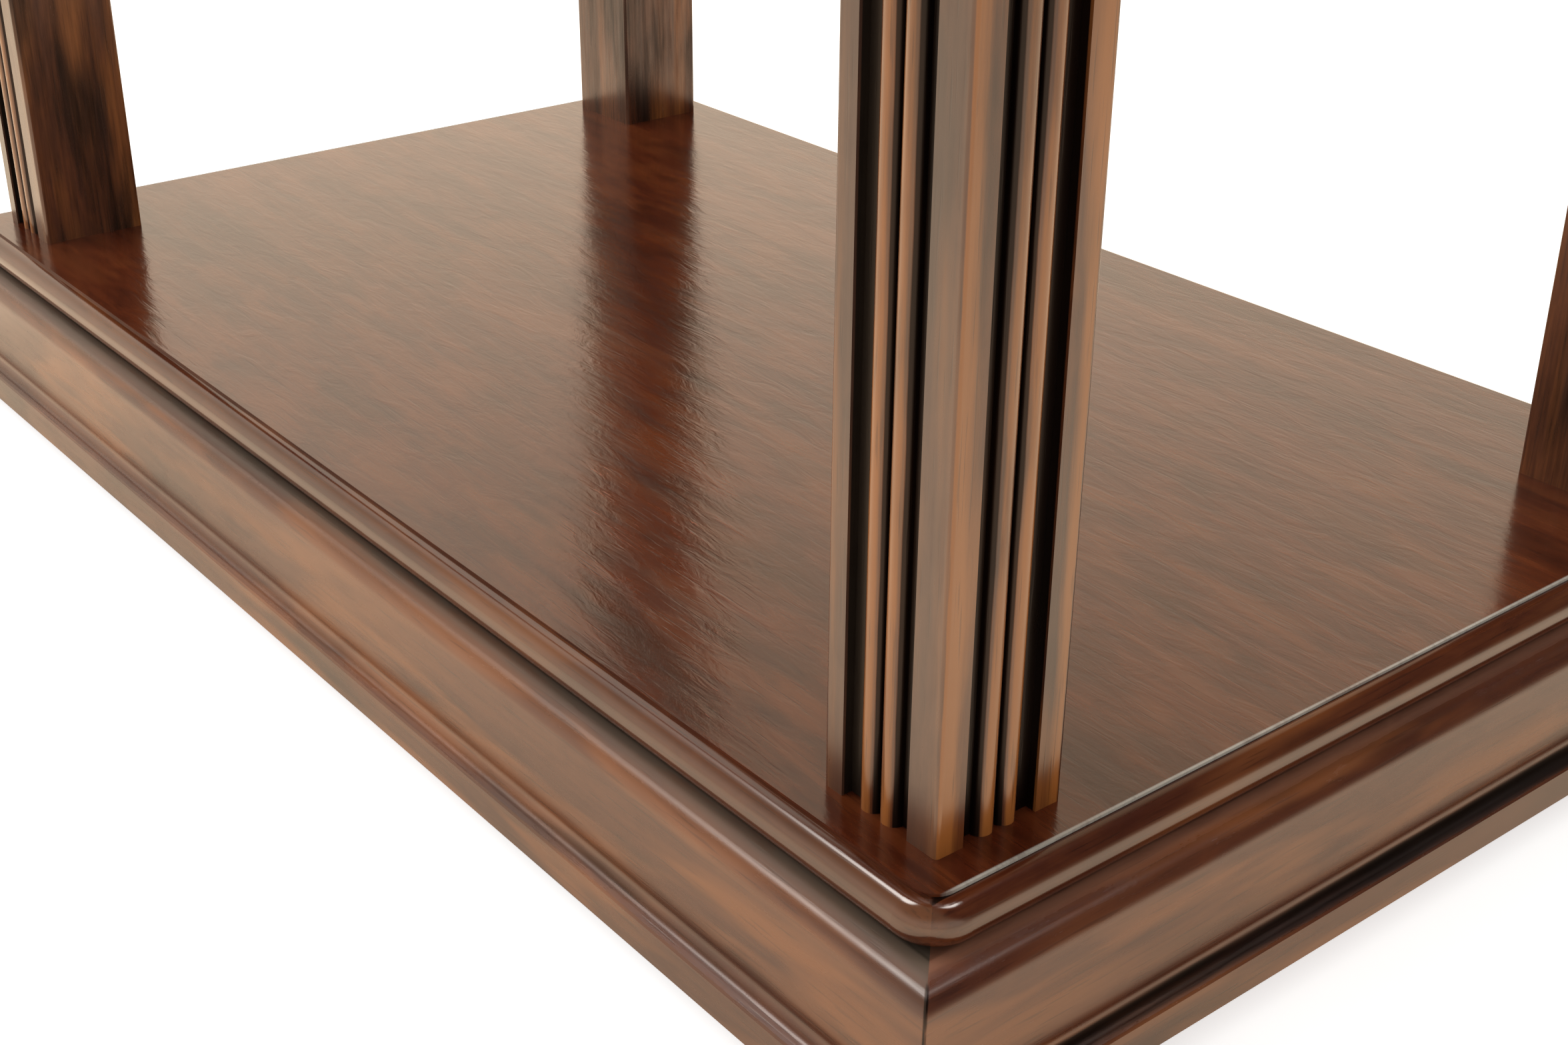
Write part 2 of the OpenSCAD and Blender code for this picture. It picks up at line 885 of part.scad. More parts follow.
module hinge_rest_screws() {
    color(BRASS)
        on_rest()
            at_leaf_screws()
                translate([0, leaf_screw_y, rest_under])
                    countersunk_screw(brass_screw_r, brass_head_r, rest_screw_len);
}

// ---- quadrant stays, drawn from the hinge pins ----

// The arm: an arc about the pins, cut level under the rest, with a round lower end
module stay_outline() {
    intersection() {
        difference() {
            circle(stay_r + stay_w / 2, $fn = 180);
            circle(stay_r - stay_w / 2, $fn = 180);
        }
        polygon([
            [0, 0], 2 * stay_r * polar(-stay_sweep), 2 * stay_r * polar(-stay_sweep / 2),
            [2 * stay_r, rest_under], [0, rest_under]]);
    }
    translate(stay_r * polar(-stay_sweep))
        circle(stay_w / 2);
}

module at_flange_screws(sx) {
    for (e = ENDS)
        translate([
            sx * (stay_x - stay_t / 2 - flange_w / 2), stay_r + e * 0.3 * flange_len, rest_under])
            children();
}

module stay_arm(sx) {
    color(BRASS)
        on_rest()
            difference() {
                union() {
                    translate([sx * stay_x, 0, 0])
                        run(stay_t)
                            stay_outline();
                    translate([
                        sx * (stay_x - flange_w / 2) - (flange_w + stay_t) / 2,
                        stay_r - flange_len / 2, rest_under - stay_t])
                        cube([flange_w + stay_t, flange_len, stay_t]);
                    translate([sx * stay_x, stay_r * cos(stay_sweep), -stay_r * sin(stay_sweep)])
                        rotate([0, 90, 0])
                            cylinder(r = stud_r, h = stay_t + 2 * stud_proud, center = true);
                }
                at_flange_screws(sx)
                    translate([0, 0, -stay_t])
                        screw_hole(brass_screw_r, brass_head_r, rest_screw_len);
            }
}

module stay_arm_screws() {
    color(BRASS)
        on_rest()
            for (sx = ENDS)
                at_flange_screws(sx)
                    translate([0, 0, -stay_t])
                        countersunk_screw(brass_screw_r, brass_head_r, rest_screw_len);
}

module at_clamp_screws(sx) {
    for (e = ENDS)
        translate([
            sx * clamp_in, hinge_y + (clamp_wall + clamp_back) / 2 + e * 4.5, hinge_z + thumb_z])
            rotate([0, sx * 90, 0])
                children();
}

// The block is open towards the front, so that the arm can be slipped into it
module stay_clamp(sx) {
    slot_w = stay_t + 2 * run_gap;
    wide = span_x / 2 - apron_face - clamp_in;
    color(BRASS)
        difference() {
            on_pins()
                translate([
                    sx * (clamp_in + wide / 2) - wide / 2, clamp_front, clamp_bottom])
                    cube([wide, clamp_back - clamp_front, clamp_h]);
            on_pins()
                translate([sx * stay_x - slot_w / 2, clamp_front - cut, clamp_bottom - cut])
                    cube([slot_w, clamp_wall - clamp_front + cut, clamp_h + 2 * cut]);
            on_pins()
                translate([sx * (clamp_in - cut), thumb_y, thumb_z])
                    rotate([0, sx * 90, 0])
                        cylinder(r = thumb_r + fit, h = stay_x - clamp_in + cut);
            at_clamp_screws(sx)
                screw_hole(screw_r, screw_head_r, clamp_screw_len);
        }
}

module stay_clamp_screws() {
    color(STEEL)
        for (sx = ENDS)
            at_clamp_screws(sx)
                countersunk_screw(screw_r, screw_head_r, clamp_screw_len);
}

// A screw with a round knob, whose rim has shallow hollows to grip
module thumbscrew(sx) {
    color(BRASS)
        on_pins()
            translate([0, thumb_y, thumb_z])
                rotate([0, sx * 90, 0]) {
                    translate([0, 0, knob_in])
                        difference() {
                            cylinder(r = knob_r, h = knob_t);
                            for (i = [0 : 11])
                                rotate([0, 0, 30 * i])
                                    translate([knob_r + 1, 0, -cut])
                                        cylinder(r = 1.8, h = knob_t + 2 * cut);
                        }
                    translate([0, 0, knob_in + knob_t])
                        cylinder(r = 1.7 * thumb_r, h = thumb_neck - knob_in - knob_t);
                    translate([0, 0, thumb_neck])
                        cylinder(r = thumb_r, h = thumb_tip - thumb_neck);
                }
}

shelf_panel();
shelf_bead("front");  // shelf_bead_front
shelf_bead("back");  // shelf_bead_back
shelf_bead("left");  // shelf_bead_left
shelf_bead("right");  // shelf_bead_right
base_moulding("front");  // base_moulding_front
base_moulding("back");  // base_moulding_back
base_moulding("left");  // base_moulding_left
base_moulding("right");  // base_moulding_right
sub_rail("front");  // sub_rail_front
sub_rail("back");  // sub_rail_back
sub_rail("left");  // sub_rail_left
sub_rail("right");  // sub_rail_right
centre_rail();
corner_block(-1, -1);  // corner_block_front_left
corner_block(1, -1);  // corner_block_front_right
corner_block(-1, 1);  // corner_block_back_left
corner_block(1, 1);  // corner_block_back_right
floor_glides();
moulding_screws();
post_bolts();
post(-1, -1);  // post_front_left
post(1, -1);  // post_front_right
post(-1, 1);  // post_back_left
post(1, 1);  // post_back_right
top_rail("front");  // top_rail_front
top_rail("back");  // top_rail_back
top_rail("left");  // top_rail_left
top_rail("right");  // top_rail_right
apron("front");  // apron_front
apron("back");  // apron_back
apron("left");  // apron_left
apron("right");  // apron_right
apron_dowels();
cleat("front");  // cleat_front
cleat("back");  // cleat_back
cleat_screws();
album_rest();
album_ledge();
ledge_screws();
rest_pads();
hinge_frame_leaf(-1);  // hinge_frame_leaf_left
hinge_frame_leaf(1);  // hinge_frame_leaf_right
hinge_rest_leaf(-1);  // hinge_rest_leaf_left
hinge_rest_leaf(1);  // hinge_rest_leaf_right
hinge_pins();
hinge_frame_screws();
hinge_rest_screws();
stay_arm(-1);  // stay_arm_left
stay_arm(1);  // stay_arm_right
stay_arm_screws();
stay_clamp(-1);  // stay_clamp_left
stay_clamp(1);  // stay_clamp_right
stay_clamp_screws();
thumbscrew(-1);  // thumbscrew_left
thumbscrew(1);  // thumbscrew_right
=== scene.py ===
# %% [markdown]
# # A photo album stand in dark mahogany
# The stand has a moulded plinth with a polished shelf, four fluted posts, a top frame
# with aprons, and an album rest that tilts on two brass hinges. The construction comes
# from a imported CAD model, and this lesson gives it its finish: stained and lacquered
# wood, brass, steel, nylon and felt, with a studio and a camera to look at them.

# %% Load the construction
import json
import math

import bmesh
import bpy
from mathutils import Matrix, Vector

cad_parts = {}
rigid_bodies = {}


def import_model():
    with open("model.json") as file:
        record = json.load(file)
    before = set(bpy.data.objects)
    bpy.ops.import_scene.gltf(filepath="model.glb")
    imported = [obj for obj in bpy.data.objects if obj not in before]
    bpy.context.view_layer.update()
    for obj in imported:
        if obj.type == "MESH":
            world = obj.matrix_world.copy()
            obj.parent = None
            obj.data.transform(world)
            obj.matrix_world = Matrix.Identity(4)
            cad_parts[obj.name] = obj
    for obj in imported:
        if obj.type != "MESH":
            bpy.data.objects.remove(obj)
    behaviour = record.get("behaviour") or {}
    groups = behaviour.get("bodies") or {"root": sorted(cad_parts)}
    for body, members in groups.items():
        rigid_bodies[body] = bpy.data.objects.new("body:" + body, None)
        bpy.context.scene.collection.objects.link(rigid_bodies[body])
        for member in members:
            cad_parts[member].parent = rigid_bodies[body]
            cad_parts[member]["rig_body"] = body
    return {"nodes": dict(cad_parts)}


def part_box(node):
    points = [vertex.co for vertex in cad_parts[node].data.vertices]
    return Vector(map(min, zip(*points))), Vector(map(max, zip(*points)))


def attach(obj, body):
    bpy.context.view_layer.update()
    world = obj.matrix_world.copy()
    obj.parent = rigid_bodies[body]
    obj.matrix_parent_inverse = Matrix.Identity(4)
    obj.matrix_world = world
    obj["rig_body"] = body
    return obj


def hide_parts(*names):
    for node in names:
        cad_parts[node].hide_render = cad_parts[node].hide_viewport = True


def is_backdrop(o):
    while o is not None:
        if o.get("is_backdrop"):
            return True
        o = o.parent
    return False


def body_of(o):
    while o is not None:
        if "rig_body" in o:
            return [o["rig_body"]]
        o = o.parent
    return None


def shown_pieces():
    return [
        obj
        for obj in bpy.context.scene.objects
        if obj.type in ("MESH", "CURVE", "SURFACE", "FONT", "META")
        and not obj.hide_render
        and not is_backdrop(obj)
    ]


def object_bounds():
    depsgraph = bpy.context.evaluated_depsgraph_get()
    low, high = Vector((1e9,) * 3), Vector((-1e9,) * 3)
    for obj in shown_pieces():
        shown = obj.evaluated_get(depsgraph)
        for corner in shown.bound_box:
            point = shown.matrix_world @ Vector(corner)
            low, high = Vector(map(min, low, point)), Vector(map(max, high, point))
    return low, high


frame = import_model()
nodes = frame["nodes"]
cad_box = [list(corner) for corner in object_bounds()]
print("pieces from the CAD model:", len(nodes))

# %% [markdown]
# ## Measures
# Everything is placed from the model itself. The posts give the corners of the stand,
# the shelf gives the height of its polished face, and the moulding gives the height
# below which its profile is counted.

# %% Measure the main pieces
post_low, post_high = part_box("post_front_right")
half_x = post_high.x
half_y = -post_low.y
half_post = (post_high.x - post_low.x) / 2
shelf_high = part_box("shelf_panel")[1]
shelf_top = shelf_high.z
shelf_reach = shelf_high.x - half_x
moulding_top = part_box("base_moulding_front")[1].z
print("posts reach", round(half_x, 4), round(half_y, 4), "half width", round(half_post, 4))
print("shelf at", round(shelf_top, 4), "moulding top at", round(moulding_top, 4))

# %% [markdown]
# ## The camera
# A close, low view over the near corner of the shelf, as someone would look at the
# joint of post and plinth. It hangs off the near post's outer corner, so it keeps its
# place if the stand changes size. A real lens never sits dead level, so it has a small
# roll as well.

# %% Place the camera
LENS_MM = 47.9
SENSOR_MM = 36
CAMERA_ROLL = math.radians(0.41)
CAMERA_FROM_CORNER = Vector((0.26722, -0.25726, 0.26805))
CAMERA_AIM = Vector((-0.6962, 0.5590, -0.4504)).normalized()

camera_place = Vector((half_x, -half_y, shelf_top)) + CAMERA_FROM_CORNER
camera_data = bpy.data.cameras.new("corner_camera")
camera_data.sensor_width = SENSOR_MM
camera_data.lens = LENS_MM
camera = bpy.data.objects.new("corner_camera", camera_data)
bpy.context.scene.collection.objects.link(camera)
turn = CAMERA_AIM.to_track_quat("-Z", "Y").to_matrix() @ Matrix.Rotation(CAMERA_ROLL, 3, "Z")
camera.matrix_world = Matrix.Translation(camera_place) @ turn.to_4x4()
bpy.context.scene.camera = camera
print("camera at", [round(v, 3) for v in camera_place])

# %% [markdown]
# ## Small helpers for materials
# Every finish below is a tree of nodes. The first helpers make a tree, add one node in
# one line and wire it or fill it in.

# %% Helpers for node trees
def tree_of(name):
    """A new material and its empty node tree."""
    material = bpy.data.materials.new(name)
    material.use_nodes = True
    material.node_tree.nodes.clear()
    return material, material.node_tree


def fill(tree, socket, value):
    """Wires an output into a socket, or writes a plain value there."""
    if isinstance(value, bpy.types.NodeSocket):
        tree.links.new(value, socket)
    else:
        socket.default_value = value


def add(tree, kind, inputs=(), **settings):
    """Adds a node, sets it up and fills its inputs by name or number."""
    made = tree.nodes.new(kind)
    for key, value in settings.items():
        setattr(made, key, value)
    for key, value in dict(inputs).items():
        fill(tree, made.inputs[key], value)
    return made


def close(tree, inputs):
    """Ends a material with its shader and its output."""
    shader = add(tree, "ShaderNodeBsdfPrincipled", inputs)
    add(tree, "ShaderNodeOutputMaterial", {"Surface": shader.outputs[0]})


print("tree helpers ready")

# %% [markdown]
# Sums and blends are the words that the finishes are written in: a mask is a number
# from 0 to 1 at each point, and it's made by easing, multiplying and comparing others.

# %% Helpers for sums and blends
def maths(tree, operation, *values):
    """One Math node on up to three values, and its result."""
    return add(tree, "ShaderNodeMath", dict(enumerate(values)), operation=operation).outputs[0]


def plus(tree, first, second):
    """The sum of two values."""
    return maths(tree, "ADD", first, second)


def minus(tree, first, second):
    """The first value less the second."""
    return maths(tree, "SUBTRACT", first, second)


def times(tree, first, second):
    """The product of two values."""
    return maths(tree, "MULTIPLY", first, second)


def most(tree, first, second):
    """The larger of two values."""
    return maths(tree, "MAXIMUM", first, second)


def least(tree, first, second):
    """The smaller of two values."""
    return maths(tree, "MINIMUM", first, second)


def beyond(tree, coordinate, reach):
    """How far a coordinate lies beyond a reach, on either side of the middle."""
    return minus(tree, maths(tree, "ABSOLUTE", coordinate), reach)


def ease(tree, value, low, high, to_low=0.0, to_high=1.0):
    """Eases from to_low, where a value is low, to to_high, where it is high."""
    return add(tree, "ShaderNodeMapRange", {
        "Value": value, "From Min": low, "From Max": high,
        "To Min": to_low, "To Max": to_high}, interpolation_type="SMOOTHSTEP").outputs["Result"]


def blend(tree, share, first, second):
    """Lays a second colour over a first one."""
    made = add(tree, "ShaderNodeMix", data_type="RGBA")
    for number, value in ((0, share), (6, first), (7, second)):
        fill(tree, made.inputs[number], value)
    return made.outputs[2]


print("sum helpers ready")

# %% [markdown]
# Patterns are read at a point's place in metres. A noise stretched along one axis gives
# fibres and streaks, and a relief turns a pattern into fine dents in the surface.

# %% Helpers for places, noise and relief
def object_place(tree):
    """A point's place in metres, in the model's own frame."""
    return add(tree, "ShaderNodeTexCoord").outputs["Object"]


def split(tree, vector):
    """The X, Y and Z outputs of a vector."""
    return add(tree, "ShaderNodeSeparateXYZ", {0: vector}).outputs


def scaled(tree, vector, scale):
    """A vector with each axis stretched by its own scale."""
    return add(tree, "ShaderNodeVectorMath", {0: vector, 1: scale}, operation="MULTIPLY").outputs[0]


def noise(tree, vector, scale, detail=2.0, roughness=0.5, distortion=0.0):
    """A Noise texture's value, with the scale of each axis in lumps per metre."""
    return add(tree, "ShaderNodeTexNoise", {
        "Vector": scaled(tree, vector, scale), "Scale": 1.0, "Detail": detail,
        "Roughness": roughness, "Distortion": distortion}).outputs["Fac"]


def relief(tree, height, strength, distance):
    """The normal of a surface with a fine relief, its distance in metres."""
    return add(tree, "ShaderNodeBump", {
        "Strength": strength, "Distance": distance, "Height": height}).outputs[0]


print("pattern helpers ready")

# %% [markdown]
# A pattern that several finishes share is a node group, built once and placed in each
# of them with its own values.

# %% Helpers for node groups
def group_of(name, sockets_in, sockets_out):
    """A new shader node group with its two ends, ready for nodes between them."""
    group = bpy.data.node_groups.new(name, "ShaderNodeTree")
    for title, kind, start in sockets_in:
        socket = group.interface.new_socket(
            title, in_out="INPUT", socket_type="NodeSocket" + kind)
        if start is not None:
            socket.default_value = start
    for title in sockets_out:
        group.interface.new_socket(title, in_out="OUTPUT", socket_type="NodeSocketFloat")
    given = group.nodes.new("NodeGroupInput").outputs
    result = group.nodes.new("NodeGroupOutput").inputs
    return group, given, result


def use(tree, group, inputs):
    """Places a node group in a tree and gives its outputs."""
    made = tree.nodes.new("ShaderNodeGroup")
    made.node_tree = group
    for key, value in inputs.items():
        fill(tree, made.inputs[key], value)
    return made.outputs


print("group helpers ready")

# %% [markdown]
# ## The floor
# The floor is pale paper that stays white where the camera sees it and keeps the
# stand's shadow. Polished wood mirrors it warmer, and dimmer close to the stand, where
# the stand itself shades it, than a hand's breadth away.

# %% Make the floor
WHITE = (1, 1, 1, 1)
PAPER = (0.80, 0.795, 0.79, 1)
PAPER_MIRRORED = (0.80, 0.64, 0.46, 1)
GLOW_MIRRORED = (1.0, 0.82, 0.60, 1)
GLOW_SEEN = 0.62
GLOW_UNDER, GLOW_BESIDE, FAR_SHARE = 0.56, 1.30, 0.60
UNDER_TO_BESIDE = (-0.01, 0.11)
BESIDE_TO_FAR = (0.35, 1.0)
FLOOR_HALF = 8


def mesh_object(name, mesh_bm, material):
    """Turns a bmesh into an object in the scene, with its place in its mesh."""
    mesh = bpy.data.meshes.new(name)
    mesh_bm.to_mesh(mesh)
    mesh_bm.free()
    mesh.materials.append(material)
    made = bpy.data.objects.new(name, mesh)
    bpy.context.scene.collection.objects.link(made)
    return made


floor_material, tree = tree_of("studio_paper")
rays = add(tree, "ShaderNodeLightPath").outputs
paper_colour = blend(tree, rays["Is Glossy Ray"], PAPER, PAPER_MIRRORED)
paper = add(tree, "ShaderNodeBsdfDiffuse", {"Color": paper_colour})
on_paper = split(tree, object_place(tree))
away = most(tree, *(beyond(tree, on_paper[k], cad_box[1][k]) for k in (0, 1)))
near_glow = times(
    tree, ease(tree, away, *UNDER_TO_BESIDE, GLOW_UNDER, GLOW_BESIDE),
    ease(tree, away, *BESIDE_TO_FAR, 1.0, FAR_SHARE))
glow_power = add(tree, "ShaderNodeMix", {
    0: rays["Is Camera Ray"], 2: near_glow, 3: GLOW_SEEN}, data_type="FLOAT").outputs[0]
glow_share = most(tree, rays["Is Camera Ray"], rays["Is Glossy Ray"])
glow = add(tree, "ShaderNodeEmission", {
    "Color": blend(tree, rays["Is Camera Ray"], GLOW_MIRRORED, WHITE),
    "Strength": times(tree, glow_share, glow_power)})
both = add(tree, "ShaderNodeAddShader", {0: paper.outputs[0], 1: glow.outputs[0]})
add(tree, "ShaderNodeOutputMaterial", {"Surface": both.outputs[0]})

floor_bm = bmesh.new()
bmesh.ops.create_grid(floor_bm, x_segments=1, y_segments=1, size=FLOOR_HALF)
floor = mesh_object("floor", floor_bm, floor_material)
floor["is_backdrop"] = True
print("floor ready")

# %% [markdown]
# ## The studio
# A polished stand is mostly seen by what it mirrors, so the room matters as much as the
# lamp. The mirrored room is warm and bright low down and darker overhead, with a few
# soft round patches: a pale one high at the left, a dim one low behind, a broad dark one
# high behind the stand's right side, which draws the dark bands along the mouldings, and
# two small bright ones overhead, which give the bead its glints. One large soft lamp
# gives the shadow.

# %% Make the room and the lamp
ROOM_SEEN_BY_MATT = (0.80, 0.79, 0.77, 1)
ROOM_LOW, ROOM_HIGH = (1.74, 1.40, 1.06, 1), (0.74, 0.52, 0.32, 1)
LOW_TO_HIGH = (0.20, 0.74)
GLINT = (13.0, 12.4, 11.6, 1)
# Each patch: where it lies, the degrees within which it's full and beyond which it's
# gone, and its colour.
PATCHES = (
    ((-0.66, 0.10, 0.74), 8, 30, (1.45, 1.32, 1.12, 1)),
    ((0.62, 0.76, 0.06), 14, 42, (1.10, 0.76, 0.48, 1)),
    ((0.45, 0.56, 0.70), 30, 50, (0.06, 0.045, 0.035, 1)),
    ((-0.483, -0.108, 0.872), 7, 12, GLINT),
    ((0.005, 0.331, 0.945), 7, 12, GLINT))

world = bpy.data.worlds.new("studio")
world.use_nodes = True
bpy.context.scene.world = world
tree = world.node_tree
tree.nodes.clear()
direction = add(tree, "ShaderNodeTexCoord").outputs["Generated"]
rays = add(tree, "ShaderNodeLightPath").outputs


def facing(towards, near, far):
    """How much a direction lies within a soft round patch of the room."""
    along = add(tree, "ShaderNodeVectorMath", {
        0: direction, 1: tuple(Vector(towards).normalized())},
        operation="DOT_PRODUCT").outputs["Value"]
    return ease(tree, along, math.cos(math.radians(far)), math.cos(math.radians(near)))


height = split(tree, direction)["Z"]
mirrored = blend(tree, ease(tree, height, *LOW_TO_HIGH), ROOM_LOW, ROOM_HIGH)
for towards, near, far, patch_colour in PATCHES:
    mirrored = blend(tree, facing(towards, near, far), mirrored, patch_colour)
room = blend(tree, rays["Is Glossy Ray"], ROOM_SEEN_BY_MATT, mirrored)
room = blend(tree, rays["Is Camera Ray"], room, WHITE)
back = add(tree, "ShaderNodeBackground", {"Color": room, "Strength": 1.0})
add(tree, "ShaderNodeOutputWorld", {"Surface": back.outputs[0]})


def softbox(name, place, aim, size, power):
    """A large square soft lamp that neither the camera nor a mirror sees."""
    data = bpy.data.lights.new(name, "AREA")
    data.shape = "SQUARE"
    data.size = size
    data.energy = power
    lamp = bpy.data.objects.new(name, data)
    lamp.location = place
    lamp.rotation_mode = "QUATERNION"
    lamp.rotation_quaternion = (Vector(aim) - Vector(place)).to_track_quat("-Z", "Y")
    lamp.visible_camera = False
    lamp.visible_glossy = False
    bpy.context.scene.collection.objects.link(lamp)


softbox("key_lamp", place=(-1.9, -2.2, 2.6), aim=(0, 0, 0.3), size=2.4, power=60)
bpy.context.scene.view_settings.view_transform = "Standard"
print("studio ready, patches:", len(PATCHES))

# %% [markdown]
# ## Mahogany: the figure of the wood
# Mahogany has three things to show at three scales: broad ribbons where the grain leans
# one way and then the other, fine fibres, and short dark pores all along the grain.
# Rings round the heart of the tree cross them, and a mottle breaks them up. They are one
# node group, because every board and moulding uses them. Its vector has X along the
# grain; each material turns its own coordinates so.

# %% Build the wood figure
RIBBON_SCALE = (2.6, 34.0, 34.0)
WANDER_SCALE, WANDER_METRES = (3.4, 11.0, 11.0), 0.034
FIBRE_SCALE = (14.0, 620.0, 620.0)
PORE_SCALE = (52.0, 1300.0, 1300.0)
MOTTLE_SCALE = (52.0, 170.0, 170.0)
HEART_BELOW = 0.03

wood_figure, given, result = group_of(
    "wood_figure", (("Vector", "Vector", None), ("Rings", "Float", 60.0), ("Lean", "Float", 0.05)),
    ("Ribbon", "Rings", "Fibre", "Pores", "Mottle"))
tree = wood_figure
grain = given["Vector"]
fill(tree, result["Ribbon"], noise(tree, grain, RIBBON_SCALE, 4.0, 0.55, 0.3))
fill(tree, result["Fibre"], noise(tree, grain, FIBRE_SCALE, 4.0, 0.6))
fill(tree, result["Pores"], ease(tree, noise(tree, grain, PORE_SCALE, 1.0, 0.5), 0.60, 0.72))
fill(tree, result["Mottle"], noise(tree, grain, MOTTLE_SCALE, 5.0, 0.62, 0.6))
parts = split(tree, grain)
wander = minus(tree, noise(tree, grain, WANDER_SCALE, 3.0, 0.5), 0.5)
wander = times(tree, wander, WANDER_METRES)
across = plus(tree, parts["Y"], wander)
deep = maths(tree, "MULTIPLY_ADD", parts["X"], given["Lean"], plus(tree, parts["Z"], HEART_BELOW))
deep = plus(tree, deep, wander)
squares = plus(tree, times(tree, across, across), times(tree, deep, deep))
radius = maths(tree, "SQRT", squares)
turns = maths(tree, "FRACT", times(tree, radius, given["Rings"]))
late = maths(tree, "POWER", turns, 3.0)
early = ease(tree, turns, 0.92, 1.0, 1.0, 0.0)
fill(tree, result["Rings"], times(tree, late, early))
print("figure group:", len(tree.nodes), "nodes")

# %% [markdown]
# ## Glaze and rubbing
# Such furniture is stained, then glazed: a dark wipe is left in the hollows and rubbed
# off the high edges, which shows the wood's orange-brown. Both have ragged borders that
# follow the strokes of the rag along the piece. One group takes how deep a place lies
# and how much of an edge it is, and breaks both up with streaks. It also gives the
# smears of the wipe and the warm patches that the rag left on open faces.

# %% Build the glaze group
STROKE_SCALE = (26.0, 420.0, 420.0)
PATCH_SCALE = (11.0, 60.0, 60.0)
DRIFT_SCALE = (9.0, 70.0, 70.0)
STROKE_SHARE, PATCH_SHARE = 0.45, 0.55

worn_glaze, given, result = group_of("worn_glaze", (
    ("Vector", "Vector", None), ("Hollow", "Float", 0.0), ("Edge", "Float", 0.0),
    ("Ragged", "Float", 0.5)), ("Glaze", "Rubbed", "Wipe", "Warm"))
tree = worn_glaze
strokes = noise(tree, given["Vector"], STROKE_SCALE, 5.0, 0.62, 0.2)
patches = noise(tree, given["Vector"], PATCH_SCALE, 3.0, 0.5, 0.3)
drift = noise(tree, given["Vector"], DRIFT_SCALE, 2.5, 0.5, 0.5)
broken = maths(tree, "MULTIPLY_ADD", strokes, STROKE_SHARE, times(tree, patches, PATCH_SHARE))
swing = times(tree, minus(tree, broken, 0.5), given["Ragged"])
fill(tree, result["Glaze"], ease(tree, plus(tree, given["Hollow"], swing), 0.25, 0.75))
fill(tree, result["Rubbed"], ease(tree, minus(tree, given["Edge"], swing), 0.35, 0.9))
fill(tree, result["Wipe"], ease(tree, patches, 0.48, 0.68))
fill(tree, result["Warm"], ease(tree, drift, 0.46, 0.66))
print("glaze group:", len(tree.nodes), "nodes")

# %% [markdown]
# ## Stained and lacquered mahogany
# One function makes the finish for a board, a moulding or a post. It turns the
# coordinates so the grain runs along the piece, colours the figure, and lays its layers
# one over another: rings, warm patches, smears, rubbed edges, pores, glaze, and a pale
# top layer, partly the dusty wax that polishing leaves in creases and partly painted
# sheen and highlight. Fibres and pores are a fine relief. The lacquer's gloss is the
# same all over, but the glaze is a dull pigment that mirrors next to nothing. The shader
# has no masked socket for that except Metallic, over a colour near black, so the glaze
# goes there too, though it's no metal.

# %% Make the mahogany finish
TURN_TO_GRAIN = {
    "x": (0.0, 0.0, 0.0),
    "y": (0.0, 0.0, math.radians(-90)),
    "z": (0.0, math.radians(90), 0.0)}
GLAZE = (0.0040, 0.0014, 0.0009, 1)
TONE_RANGE = (0.36, 0.64)
FIBRE_TONE, RIBBON_TONE, MOTTLE_TONE = 0.25, 0.4, 0.35
RUBBED_SHARE, PORE_SHARE, GLAZE_SHARE = 0.8, 0.35, 0.95
WAX_AND_SHEEN_BROKEN = (0.75, 1.05, 0.7, 1.0)
GLAZE_ROUGH, WAX_AND_SHEEN_ROUGH = 0.08, 0.20
FIBRE_RELIEF, PORE_RELIEF = 0.6, 0.4
LACQUER_SPECULAR = 0.7
GLAZE_DULL = 0.7


def along_grain(tree, axis, shift, tilt=(0, 0, 0)):
    """Object coordinates in metres, turned so that X runs along the grain."""
    turn = [TURN_TO_GRAIN[axis][k] + tilt[k] for k in range(3)]
    return add(tree, "ShaderNodeMapping", {
        "Vector": object_place(tree), "Rotation": turn, "Location": shift},
        vector_type="POINT").outputs[0]


